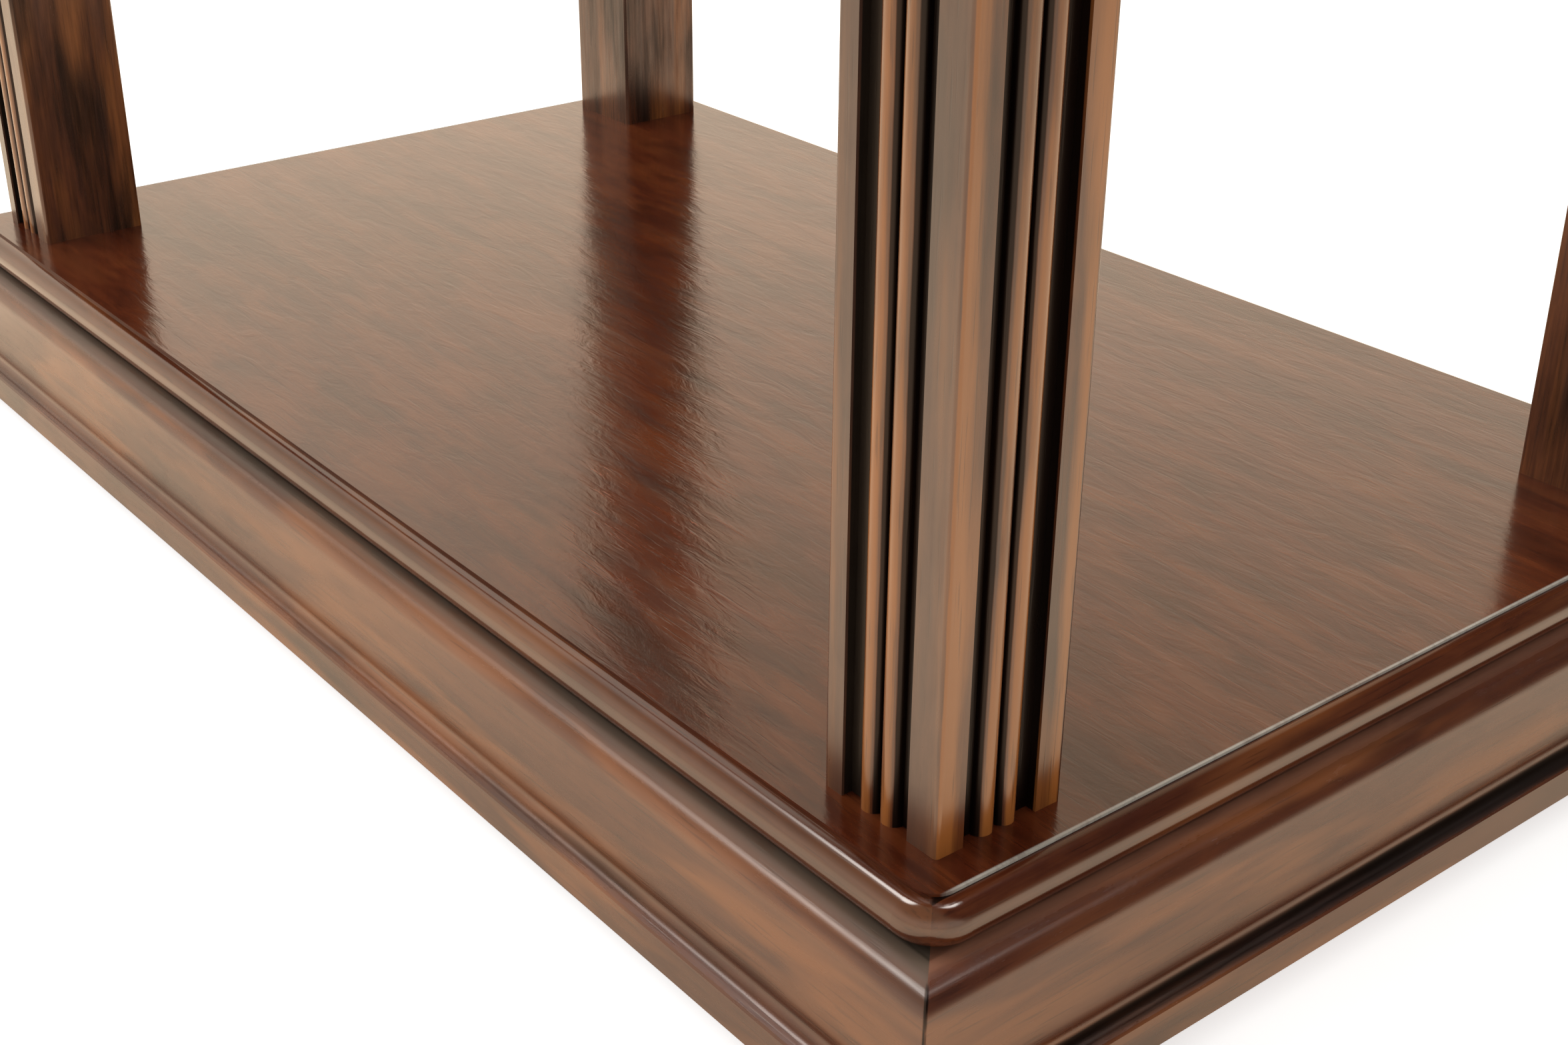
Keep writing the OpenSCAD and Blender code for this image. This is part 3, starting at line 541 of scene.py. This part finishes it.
def mahogany(name, axis, shift, tilt=(0, 0, 0), rings=60.0, lean=0.05, masks=None,
             dark=(0.020, 0.0042, 0.0022, 1), mid=(0.058, 0.0120, 0.0046, 1),
             light=(0.120, 0.031, 0.0100, 1), bare=(0.250, 0.080, 0.022, 1),
             wax_and_sheen_colour=(0.100, 0.085, 0.068, 1), ring_share=0.2, ragged=0.6, smudge=0.35,
             warm=0.35, gloss=(0.14, 0.20), bump=0.00006, patch=(1, 1, 1), waves=0.0):
    """A stained, glazed and lacquered mahogany finish with the grain along one axis."""
    material, tree = tree_of(name)
    grain = along_grain(tree, axis, shift, tilt)
    figure = use(tree, wood_figure, {"Vector": grain, "Rings": rings, "Lean": lean})
    hollow, edge, wax_and_sheen = masks(tree) if masks else (0.0, 0.0, 0.0)
    glaze = use(tree, worn_glaze, {
        "Vector": scaled(tree, grain, patch), "Hollow": hollow, "Edge": edge, "Ragged": ragged})

    tone = times(tree, figure["Ribbon"], RIBBON_TONE)
    tone = maths(tree, "MULTIPLY_ADD", figure["Fibre"], FIBRE_TONE, tone)
    tone = maths(tree, "MULTIPLY_ADD", figure["Mottle"], MOTTLE_TONE, tone)
    colour = blend(tree, ease(tree, tone, *TONE_RANGE), mid, light)
    for mask, share, layer in (
            (figure["Rings"], ring_share, dark), (glaze["Warm"], warm, bare),
            (glaze["Wipe"], smudge, dark), (glaze["Rubbed"], RUBBED_SHARE, bare),
            (figure["Pores"], PORE_SHARE, dark), (glaze["Glaze"], GLAZE_SHARE, GLAZE)):
        colour = blend(tree, times(tree, mask, share), colour, layer)
    # The pale top layer is partly dusty wax and partly painted sheen and highlight, as each piece's
    # masks place it.
    wax_and_sheen_left = ease(tree, plus(tree, figure["Mottle"], figure["Fibre"]), *WAX_AND_SHEEN_BROKEN)
    colour = blend(tree, times(tree, wax_and_sheen, wax_and_sheen_left), colour, wax_and_sheen_colour)

    rough = ease(tree, tone, *TONE_RANGE, gloss[1], gloss[0])
    rough = maths(tree, "MULTIPLY_ADD", glaze["Glaze"], GLAZE_ROUGH, rough)
    rough = maths(tree, "MULTIPLY_ADD", wax_and_sheen, WAX_AND_SHEEN_ROUGH, rough)
    height = minus(tree, times(tree, figure["Fibre"], FIBRE_RELIEF),
                   times(tree, figure["Pores"], PORE_RELIEF))
    height = maths(tree, "MULTIPLY_ADD", figure["Mottle"], waves, height)
    close(tree, {
        "Base Color": colour, "Roughness": rough, "Normal": relief(tree, height, 0.3, bump),
        "Specular IOR Level": LACQUER_SPECULAR,
        "Metallic": times(tree, glaze["Glaze"], GLAZE_DULL)})
    return material


def wear(name, material):
    """Gives a CAD node its finish."""
    for slot in range(len(nodes[name].data.materials)):
        nodes[name].data.materials[slot] = material


print("mahogany ready")

# %% [markdown]
# ## The shelf
# The shelf is one wide flat board, veneered with the grain along the stand and polished
# more than anything else on it, so it mirrors the posts. Its figure is quiet: fine
# straight fibres, a few long ripples, and faint arches of a plain-sawn leaf. A broken
# pale line along its joint with the bead on the two short sides is a painted highlight,
# the bright room mirrored on the board's edge.

# %% Finish the shelf
# Where the painted highlight lies inside the shelf's edge, in metres, and how it breaks up.
PAINTED_HIGHLIGHT_LINE = (0.0010, 0.0004)
PAINTED_HIGHLIGHT_BREAKS = (9.0, 9.0, 9.0)
LEAF_COLOURS = {
    "dark": (0.018, 0.0036, 0.0020, 1), "mid": (0.048, 0.0084, 0.0032, 1),
    "light": (0.120, 0.0255, 0.0080, 1), "bare": (0.170, 0.044, 0.0120, 1)}


def shelf_masks(tree):
    """A painted highlight: a broken pale line along the joint of shelf and bead on the two short
    sides.
    """
    spot = split(tree, object_place(tree))
    over_x = beyond(tree, spot["X"], half_x)
    line = ease(tree, over_x, *(shelf_reach - inside for inside in PAINTED_HIGHLIGHT_LINE))
    breaks = noise(tree, object_place(tree), PAINTED_HIGHLIGHT_BREAKS, 2.0, 0.5)
    line = times(tree, line, ease(tree, breaks, 0.38, 0.58, 0.25, 1.0))
    clear_of_corner = ease(tree, beyond(tree, spot["Y"], half_y), 0.0, shelf_reach, 1.0, 0.0)
    return 0.0, 0.0, times(tree, line, clear_of_corner)


# The pale colour of its top layer is the painted highlight along the joint.
shelf_wood = mahogany(
    "shelf_mahogany", "x", shift=(0.11, 0.045, 0.0), tilt=(0, 0, math.radians(1.5)),
    rings=95.0, lean=0.045, masks=shelf_masks, **LEAF_COLOURS,
    wax_and_sheen_colour=(0.42, 0.39, 0.34, 1), ring_share=0.20, ragged=0.2, smudge=0.40, warm=0.40,
    gloss=(0.130, 0.205), bump=0.00007, patch=(2.3, 1.2, 1.2), waves=6.0)
wear("shelf_panel", shelf_wood)
print("shelf finished, reach past the posts", round(shelf_reach, 4))

# %% [markdown]
# ## The beads and the mouldings
# The bead round the shelf and the moulding below it are run from solid strips, with the
# grain along each strip, so the front and back ones take one turn of the pattern and
# the side ones another. Glaze lies along the bead's inner side, in the crease under it,
# in the small hollow above the foot and in the mitres. Along the bead and in the hollow
# it is stronger on the side runs than on the front and back, and that extra is painted
# shade. Below the crease the moulding's crown is paler, partly with dusty old wax and
# partly with painted sheen, greyer on the front and back and warmer on the sides. The
# places are told apart by how far they reach out from the posts and how far they lie
# below the moulding's top.

# %% Finish the beads and mouldings
CREASE_REACH = (0.0126, 0.0140)
# Where the crown's pale layer, partly wax and partly painted sheen, begins and ends, past the
# posts.
WAX_AND_SHEEN_FROM, WAX_AND_SHEEN_TO_FRONT, WAX_AND_SHEEN_TO_SIDE = 0.0140, 0.0220, 0.0180
HOLLOW_TOP, HOLLOW_FOOT = (0.0290, 0.0315), (0.0328, 0.0338)
MITRE_HALF, MITRE_REACH = (0.0003, 0.0012), (0.015, 0.019)
BEAD_INNER, BEAD_OUTER = (0.0098, 0.0108), (0.0135, 0.0165)
RUN_CHANGE = (-0.001, 0.001)
# Pale crown colours, partly dusty wax and partly painted sheen: greyer on the front and back runs,
# warmer on the side runs.
WAX_AND_SHEEN_COLOURS = {"x": (0.100, 0.082, 0.062, 1), "y": (0.260, 0.120, 0.075, 1)}
RUNS = {"x": ("front", "back"), "y": ("left", "right")}


def outward(tree):
    """A point's height, and how far it stands out past the posts along X and along Y."""
    spot = split(tree, object_place(tree))
    return spot["Z"], beyond(tree, spot["X"], half_x), beyond(tree, spot["Y"], half_y)


def moulding_masks(tree):
    """Glaze in the moulding's crease, hollow and mitres, stronger in the side runs' hollow as
    painted shade, and wax with painted sheen under the crease.
    """
    level, over_x, over_y = outward(tree)
    reach = most(tree, over_x, over_y)
    side = minus(tree, over_x, over_y)
    below = minus(tree, moulding_top, level)
    crease = ease(tree, reach, *CREASE_REACH, 0.5, 0.0)
    # The pale layer under the crease, partly wax and partly painted sheen, is wider on the front
    # and back runs.
    wax_and_sheen_to = ease(tree, side, *RUN_CHANGE, WAX_AND_SHEEN_TO_FRONT, WAX_AND_SHEEN_TO_SIDE)
    wax_and_sheen = ease(tree, reach, WAX_AND_SHEEN_FROM, wax_and_sheen_to, 0.85, 0.0)
    cove = times(tree, ease(tree, below, *HOLLOW_TOP), ease(tree, below, *HOLLOW_FOOT, 1.0, 0.0))
    # The hollow's glaze is stronger on the side runs; that extra is painted shade.
    cove = times(tree, cove, ease(tree, side, *RUN_CHANGE, 0.35, 0.72))
    mitre = ease(tree, maths(tree, "ABSOLUTE", side), *MITRE_HALF, 0.7, 0.0)
    mitre = times(tree, mitre, ease(tree, least(tree, over_x, over_y), *MITRE_REACH))
    return most(tree, most(tree, crease, cove), mitre), 0.0, wax_and_sheen


def bead_masks(tree):
    """Glaze lies along the bead's inner side, stronger on the side runs as painted shade; its outer
    side is a little rubbed.
    """
    level, over_x, over_y = outward(tree)
    reach = most(tree, over_x, over_y)
    inner = ease(tree, reach, *BEAD_INNER, 1.0, 0.0)
    # The inner glaze is stronger on the side runs than on the front and back; that extra is painted
    # shade.
    inner = times(tree, inner, ease(tree, minus(tree, over_x, over_y), *RUN_CHANGE, 0.35, 0.8))
    return inner, ease(tree, reach, *BEAD_OUTER, 0.0, 0.3), 0.0


for axis, sides in RUNS.items():
    moulding_wood = mahogany(
        "moulding_mahogany_" + axis, axis, shift=(0.37, 0.0, 0.0), rings=110.0, lean=0.02,
        masks=moulding_masks, wax_and_sheen_colour=WAX_AND_SHEEN_COLOURS[axis], ring_share=0.12, ragged=0.9,
        smudge=0.7, warm=0.75, gloss=(0.22, 0.31))
    bead_wood = mahogany(
        "bead_mahogany_" + axis, axis, shift=(0.71, 0.02, 0.01), rings=120.0, lean=0.02,
        masks=bead_masks, ring_share=0.08, ragged=0.6, smudge=0.25, warm=0.45,
        gloss=(0.12, 0.16), bump=0.00003)
    for side in sides:
        wear("base_moulding_" + side, moulding_wood)
        wear("shelf_bead_" + side, bead_wood)
print("beads and mouldings finished on", sum(RUNS.values(), ()))

# %% [markdown]
# ## The posts
# Each post is square, with two reeds in a channel on each outer face. The grain runs up
# the post. Near-black glaze fills the channels, and the long edges and the crowns of the
# reeds are rubbed to orange-brown, which is stronger towards the foot. How deep a point
# lies behind the nearer face of its post tells the glaze where the channels are. The
# plain inner faces are darker: painted shade, laid down as glaze. On the outer faces
# that look to the front and back the rubbed edges are weaker, and a grey film on the
# flat borders is painted sheen.

# %% Finish the posts
CHANNEL_DEPTH = (0.0003, 0.0012)
CROWN_DEPTH = (0.0001, 0.0009)
BORDER_WIDTH = (0.0095, 0.0115)
ARRIS_WIDTH = (0.0008, 0.0085)
INNER_FACE = (0.0004, 0.0016)
FACE_CHANGE = (-0.0005, 0.0005)
FOOT_HEIGHTS = (0.04, 0.30)
# The glaze over the reeded part, and the painted shade on the plain inner faces.
REED_GLAZE, INNER_PAINTED_SHADE = 0.2, 0.42


def post_masks(tree):
    """Glaze in a post's channels, rubbed edges and crowns, painted shade on its inner faces, and
    painted sheen on its borders.
    """
    spot = split(tree, object_place(tree))
    deep, inner = [], []
    for letter, reach in (("X", half_x), ("Y", half_y)):
        offset = beyond(tree, spot[letter], reach - half_post)
        deep.append(minus(tree, half_post, maths(tree, "ABSOLUTE", offset)))
        inner.append(ease(tree, offset, *(skin - half_post for skin in INNER_FACE), 1.0, 0.0))
    depth, arris = least(tree, *deep), most(tree, *deep)
    plain = most(tree, *inner)
    outer = minus(tree, 1.0, plain)
    on_side = ease(tree, minus(tree, deep[1], deep[0]), *FACE_CHANGE)
    border = ease(tree, arris, *BORDER_WIDTH, 1.0, 0.0)
    reeded = minus(tree, 1.0, border)

    hollow = most(tree, ease(tree, depth, *CHANNEL_DEPTH), times(tree, reeded, REED_GLAZE))
    # The plain inner faces are darkened as painted shade, laid down as glaze.
    hollow = most(tree, hollow, times(tree, plain, INNER_PAINTED_SHADE))
    edge = ease(tree, arris, *ARRIS_WIDTH, 1.0, 0.2)
    edge = times(tree, edge, ease(tree, on_side, 0, 1, 0.55, 1.0))
    crown = ease(tree, depth, *CROWN_DEPTH, 0.8, 0.0)
    crown = times(tree, crown, ease(tree, border, 0, 1, 1.0, 0.0))
    up_post = ease(tree, spot["Z"], *(shelf_top + up for up in FOOT_HEIGHTS), 1.0, 0.72)
    edge = times(tree, times(tree, most(tree, edge, crown), outer), up_post)
    # A grey film on the borders of the outer faces that look front and back, a painted sheen.
    painted_sheen = times(tree, border, ease(tree, on_side, 0, 1, 0.38, 0.0))
    return hollow, edge, times(tree, painted_sheen, outer)


# Its grey top layer is the painted sheen on those borders.
post_wood = mahogany(
    "post_mahogany", "z", shift=(0.2, 0.0, 0.0), rings=85.0, lean=0.03, masks=post_masks,
    dark=(0.016, 0.0038, 0.0020, 1), mid=(0.062, 0.0145, 0.0052, 1),
    light=(0.150, 0.043, 0.0125, 1), bare=(0.350, 0.118, 0.026, 1),
    wax_and_sheen_colour=(0.070, 0.056, 0.044, 1), ring_share=0.18, ragged=1.35, smudge=0.6, warm=0.55,
    gloss=(0.18, 0.26), bump=0.00010)
CORNERS = ("front_left", "front_right", "back_left", "back_right")
for corner_name in CORNERS:
    wear("post_" + corner_name, post_wood)
print("posts finished:", len(CORNERS))

# %% [markdown]
# ## The top frame, the aprons and the album rest
# They are the same wood and finish. The rest is a polished leaf like the shelf, with its
# figure tilted to lie in its slope, and its ledge is a plain strip like the rails.

# %% Finish the upper woodwork
REST_SLOPE = math.radians(-25)
FRAME_SHIFTS = {"x": (0.9, 0.1, 0.0), "y": (0.5, 0.2, 0.0)}
frame_wood = {
    axis: mahogany("frame_mahogany_" + axis, axis, shift=shift, rings=100.0, warm=0.5, smudge=0.5)
    for axis, shift in FRAME_SHIFTS.items()}
for axis, sides in RUNS.items():
    for side in sides:
        wear("top_rail_" + side, frame_wood[axis])
        wear("apron_" + side, frame_wood[axis])
rest_wood = mahogany(
    "rest_mahogany", "x", shift=(0.3, 0.21, 0.4), tilt=(REST_SLOPE, 0, 0), rings=95.0,
    lean=0.04, **LEAF_COLOURS, ring_share=0.25, ragged=0.2, smudge=0.35, warm=0.35,
    gloss=(0.130, 0.205), bump=0.00007, patch=(1.8, 1.2, 1.2), waves=6.0)
wear("album_rest", rest_wood)
wear("album_ledge", frame_wood["x"])
print("upper woodwork finished")

# %% [markdown]
# ## Pine and beech
# The pieces under the shelf and behind the aprons are unfinished softwood: pale, with
# yellow-brown late wood in every ring and a matt planed surface. The dowels are turned
# beech with short fine flecks.

# %% Finish the plain woods
FLECK = (0.20, 0.095, 0.04, 1)
PINE = ((0.62, 0.40, 0.19, 1), (0.36, 0.17, 0.06, 1), 190.0, 0.1)
BEECH = ((0.60, 0.36, 0.19, 1), (0.44, 0.23, 0.11, 1), 240.0, 0.6)


def plain_wood(name, axis, early, late, rings, flecks):
    """A planed, unfinished wood with the grain along one axis."""
    material, tree = tree_of(name)
    grain = along_grain(tree, axis, (0.13, 0.05, 0.02))
    figure = use(tree, wood_figure, {"Vector": grain, "Rings": rings, "Lean": 0.06})
    colour = blend(tree, times(tree, figure["Rings"], 0.75), early, late)
    colour = blend(tree, ease(tree, figure["Ribbon"], 0.35, 0.7, 0.0, 0.35), colour, late)
    colour = blend(tree, times(tree, figure["Pores"], flecks), colour, FLECK)
    close(tree, {
        "Base Color": colour, "Roughness": ease(tree, figure["Fibre"], 0.3, 0.7, 0.55, 0.75),
        "Normal": relief(tree, figure["Fibre"], 0.7, 0.00015)})
    return material


pine = {axis: plain_wood("pine_" + axis, axis, *PINE) for axis in "xyz"}
beech = plain_wood("beech_turned", "x", *BEECH)
for name in ("sub_rail_front", "sub_rail_back", "cleat_front", "cleat_back"):
    wear(name, pine["x"])
for name in ("sub_rail_left", "sub_rail_right", "centre_rail"):
    wear(name, pine["y"])
for corner_name in CORNERS:
    wear("corner_block_" + corner_name, pine["z"])
wear("apron_dowels", beech)
print("plain woods finished")

# %% [markdown]
# ## Brass and steel
# The hinges, stays, clamps and their screws are brass that has dulled a little: warm,
# with fine rubbed lines and brown tarnish in patches. The hidden screws and bolts are
# zinc-plated steel. Rubbed lines run along a sawn leaf and are even on a turned piece.

# %% Finish the metals
BRASS, AGED = (0.72, 0.47, 0.16, 1), (0.30, 0.17, 0.06, 1)
ZINC, DULL_ZINC = (0.58, 0.59, 0.60, 1), (0.40, 0.41, 0.43, 1)
CLOUD_SCALE = (55.0, 55.0, 55.0)
TARNISH_MOST, TARNISH_ROUGH = 0.6, 0.2


def metal(name, base, stain, rough_low, rough_high, lines):
    """A rubbed metal with patches of tarnish and fine lines."""
    material, tree = tree_of(name)
    cloud = noise(tree, object_place(tree), CLOUD_SCALE, 5.0, 0.6)
    scuff = noise(tree, object_place(tree), lines, 3.0, 0.6)
    tarnish = ease(tree, cloud, 0.42, 0.72, 0.0, TARNISH_MOST)
    rough = ease(tree, scuff, 0.3, 0.7, rough_low, rough_high)
    close(tree, {
        "Base Color": blend(tree, tarnish, base, stain), "Metallic": 1.0,
        "Roughness": plus(tree, rough, times(tree, tarnish, TARNISH_ROUGH)),
        "Normal": relief(tree, scuff, 0.5, 0.00004)})
    return material


brass_leaf = metal("brass_leaf", BRASS, AGED, 0.22, 0.42, (60.0, 1900.0, 1900.0))
brass_turned = metal("brass_turned", BRASS, AGED, 0.18, 0.34, (900.0, 900.0, 900.0))
zinc = metal("zinc_plate", ZINC, DULL_ZINC, 0.28, 0.46, (700.0, 700.0, 700.0))
print("metals:", brass_leaf.name, brass_turned.name, zinc.name)

# %% [markdown]
# ## Nylon and felt
# The glides are black moulded nylon, with a fine texture from the mould and paler
# scuffs. The pads under the rest are green wool felt, a fuzz of fine fibres.

# %% Finish the nylon and the felt
NYLON, SCUFFED = (0.010, 0.0095, 0.009, 1), (0.045, 0.043, 0.040, 1)
FELT_DEEP, FELT_LIT = (0.012, 0.028, 0.014, 1), (0.040, 0.075, 0.036, 1)
FELT_WORN = (0.055, 0.085, 0.045, 1)

nylon, tree = tree_of("moulded_nylon")
fine = noise(tree, object_place(tree), (2200.0, 2200.0, 2200.0), 2.0, 0.6)
scuffs = noise(tree, object_place(tree), (160.0, 160.0, 160.0), 4.0, 0.6)
close(tree, {
    "Base Color": blend(tree, ease(tree, scuffs, 0.45, 0.75), NYLON, SCUFFED),
    "Roughness": ease(tree, scuffs, 0.3, 0.7, 0.38, 0.62),
    "Normal": relief(tree, fine, 0.4, 0.00008)})

felt, tree = tree_of("wool_felt")
fuzz = noise(tree, object_place(tree), (1500.0, 1500.0, 1500.0), 4.0, 0.7, 1.5)
mottle = noise(tree, object_place(tree), (260.0, 260.0, 260.0), 3.0, 0.6)
colour = blend(tree, ease(tree, fuzz, 0.3, 0.7), FELT_DEEP, FELT_LIT)
close(tree, {
    "Base Color": blend(tree, ease(tree, mottle, 0.45, 0.75, 0.0, 0.4), colour, FELT_WORN),
    "Roughness": 0.95, "Sheen Weight": 0.6, "Sheen Roughness": 0.5,
    "Normal": relief(tree, fuzz, 0.9, 0.0004)})
print("soft finishes:", nylon.name, felt.name)

# %% [markdown]
# ## Hardware with softened edges
# Sawn, cast and turned pieces never have knife edges: each one has a narrow round that
# catches the light. A copy of each piece's shape has its triangles joined into whole
# faces, and its edges are rounded. The copy rides on the same body and stands for the
# plain one.

# %% Round the edges of the hardware
WELD = 0.000001
FLAT_WITHIN = math.radians(0.5)
SMOOTH_WITHIN = math.radians(32)
SHARP_FROM = math.radians(40)
ROUND_STEPS = 3


def welded(name):
    """A copy of a piece's shape, its triangles joined into whole faces."""
    shape = bmesh.new()
    shape.from_mesh(nodes[name].data)
    bmesh.ops.remove_doubles(shape, verts=shape.verts, dist=WELD)
    bmesh.ops.dissolve_limit(
        shape, angle_limit=FLAT_WITHIN, use_dissolve_boundaries=False, verts=shape.verts,
        edges=shape.edges, delimit={"NORMAL"})
    return shape


def stand_for(name, shape, finish):
    """Puts a finished shape in the place of a CAD piece, on the same body."""
    bmesh.ops.recalc_face_normals(shape, faces=shape.faces)
    for face in shape.faces:
        face.smooth = True
    piece = mesh_object(name + "_finished", shape, finish)
    piece.data.set_sharp_from_angle(angle=SMOOTH_WITHIN)
    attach(piece, body_of(nodes[name])[0])
    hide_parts(name)


def soften(name, width, finish):
    """A copy of a piece with all its sharp edges rounded, the width in metres."""
    shape = welded(name)
    sharp = [edge for edge in shape.edges
             if edge.is_manifold and edge.calc_face_angle(0.0) > SHARP_FROM]
    bmesh.ops.bevel(
        shape, geom=sharp, offset=width, offset_type="OFFSET", segments=ROUND_STEPS,
        profile=0.5, affect="EDGES", clamp_overlap=True, material=-1)
    bmesh.ops.remove_doubles(shape, verts=shape.verts, dist=WELD)
    bmesh.ops.dissolve_degenerate(shape, dist=WELD / 2, edges=shape.edges)
    stand_for(name, shape, finish)


for side in RUNS["y"]:
    soften("stay_clamp_" + side, 0.0007, brass_leaf)
    soften("thumbscrew_" + side, 0.0005, brass_turned)
    soften("stay_arm_" + side, 0.00025, brass_leaf)
    soften("hinge_frame_leaf_" + side, 0.0002, brass_leaf)
    soften("hinge_rest_leaf_" + side, 0.0002, brass_leaf)
soften("hinge_pins", 0.0003, brass_turned)
soften("post_bolts", 0.0004, zinc)
soften("floor_glides", 0.0010, nylon)
soften("rest_pads", 0.0006, felt)
softened = [piece.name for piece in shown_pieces() if piece.name.endswith("_finished")]
print("softened pieces:", len(softened))

# %% [markdown]
# ## Cross-head screws: measuring
# Every countersunk screw gets a turned head with a cross recess. The lengths and radii
# are measured from the model's own screws: the broadest flat of each is its head, and
# each ring of points gives a radius of the shank.

# %% Measure the screws
def solids_of(name):
    """Gives, for each solid of a piece, its broadest flat's middle and normal, and its points."""
    shape = welded(name)
    shape.verts.index_update()
    seen = set()
    for start in shape.verts:
        if start.index in seen:
            continue
        seen.add(start.index)
        points, waiting = [], [start]
        while waiting:
            vert = waiting.pop()
            points.append(vert)
            for edge in vert.link_edges:
                other = edge.other_vert(vert)
                if other.index not in seen:
                    seen.add(other.index)
                    waiting.append(other)
        flats = (face for vert in points for face in vert.link_faces)
        head = max(flats, key=lambda face: face.calc_area())
        yield head.calc_center_bounds(), head.normal.copy(), [vert.co.copy() for vert in points]
    shape.free()


def turned_profile(middle, out, points):
    """Radius at each depth below a screw's head."""
    radii = {}
    for point in points:
        depth = round((middle - point).dot(out), 5)
        radii[depth] = max(radii.get(depth, 0.0), ((point - middle) + out * depth).length)
    return sorted(radii.items())


middle, out, points = next(solids_of("ledge_screws"))
print("a ledge screw, depth and radius:", [
    (round(d, 4), round(r, 4)) for d, r in turned_profile(middle, out, points)])

# %% [markdown]
# ## Cross-head screws: turning
# The measured profile is spun round its axis, the cross is cut into the flat top and
# sunk, narrowing as it goes down, and each screw is set in its place at the angle where
# the screwdriver happened to leave it.

# %% Turn the cross-head screws
# Shares of the head's radius.
CROSS_ARM, CROSS_HALF, CROSS_DEPTH = 0.52, 0.11, 0.5
CROSS_TAPER = 0.6
SPIN_STEPS = 40
FIRST_TURN, NEXT_TURN = 37, 61
SLANT = Vector((1.0, 1.7, 2.9))


def slant(part):
    """How far a part lies along a slanting line, where no two parts of a screw are level."""
    return sum((vert.co for vert in part.verts), Vector()).dot(SLANT) / len(part.verts)


def settle(screw):
    """Puts the edges and faces in a fixed order, in which a spin or an extrusion leaves none."""
    for parts in (screw.edges, screw.faces):
        parts.sort(key=slant)


def top_of(shape):
    """The faces of a screw's flat top."""
    shape.normal_update()
    return [face for face in shape.faces if face.normal.z > 0.99]


def sink_cross(shape, head):
    """Cuts the flat top along the cross's outline and sinks what is inside."""
    arm, half = CROSS_ARM * head, CROSS_HALF * head
    for way in (Vector((1, 0, 0)), Vector((0, 1, 0))):
        for reach in (-arm, -half, half, arm):
            top = top_of(shape)
            parts = dict.fromkeys(part for face in top for part in (*face.verts, *face.edges, face))
            bmesh.ops.bisect_plane(shape, geom=list(parts), plane_co=way * reach, plane_no=way)
    inside = []
    for face in top_of(shape):
        middle = face.calc_center_median()
        near, far = sorted((abs(middle.x), abs(middle.y)))
        if near < half and far < arm:
            inside.append(face)
    sunk = bmesh.ops.extrude_face_region(shape, geom=inside)["geom"]
    bmesh.ops.delete(shape, geom=inside, context="FACES")
    for vert in [part for part in sunk if isinstance(part, bmesh.types.BMVert)]:
        vert.co = Vector((vert.co.x * CROSS_TAPER, vert.co.y * CROSS_TAPER, -CROSS_DEPTH * head))


def spun(rings):
    """A closed screw with its head up, from its radius at each depth."""
    screw = bmesh.new()
    outline = [(radius, depth) for depth, radius in rings] + [(0.0, rings[-1][0])]
    line = [screw.verts.new((radius, 0, -depth)) for radius, depth in outline]
    edges = [screw.edges.new(pair) for pair in zip(line, line[1:])]
    bmesh.ops.spin(
        screw, geom=line + edges, cent=(0, 0, 0), axis=(0, 0, 1), angle=math.tau,
        steps=SPIN_STEPS, use_merge=True)
    settle(screw)
    bmesh.ops.remove_doubles(screw, verts=screw.verts, dist=WELD)
    bmesh.ops.contextual_create(screw, geom=[edge for edge in screw.edges if edge.is_boundary])
    bmesh.ops.recalc_face_normals(screw, faces=screw.faces)
    return screw


def cross_heads(name, finish):
    """All the screws of a piece, with cross recesses in their heads."""
    whole = bmesh.new()
    for number, (middle, out, points) in enumerate(solids_of(name)):
        rings = turned_profile(middle, out, points)
        screw = spun(rings)
        sink_cross(screw, rings[0][1])
        settle(screw)
        driven = Matrix.Rotation(math.radians(FIRST_TURN + NEXT_TURN * number), 3, "Z")
        turn = out.to_track_quat("Z", "Y").to_matrix() @ driven
        screw.transform(Matrix.Translation(middle) @ turn.to_4x4())
        one = bpy.data.meshes.new("screw")
        screw.to_mesh(one)
        screw.free()
        whole.from_mesh(one)
        bpy.data.meshes.remove(one)
    stand_for(name, whole, finish)


for name in ("hinge_frame_screws", "hinge_rest_screws", "stay_arm_screws"):
    cross_heads(name, brass_turned)
for name in ("moulding_screws", "cleat_screws", "ledge_screws", "stay_clamp_screws"):
    cross_heads(name, zinc)
sets = [piece.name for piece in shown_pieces() if piece.name.endswith("_screws_finished")]
print("sets of screws turned:", len(sets))

# %% Measure and finish
made_box = [list(corner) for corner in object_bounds()]
print("box", [[round(v, 4) for v in corner] for corner in made_box])
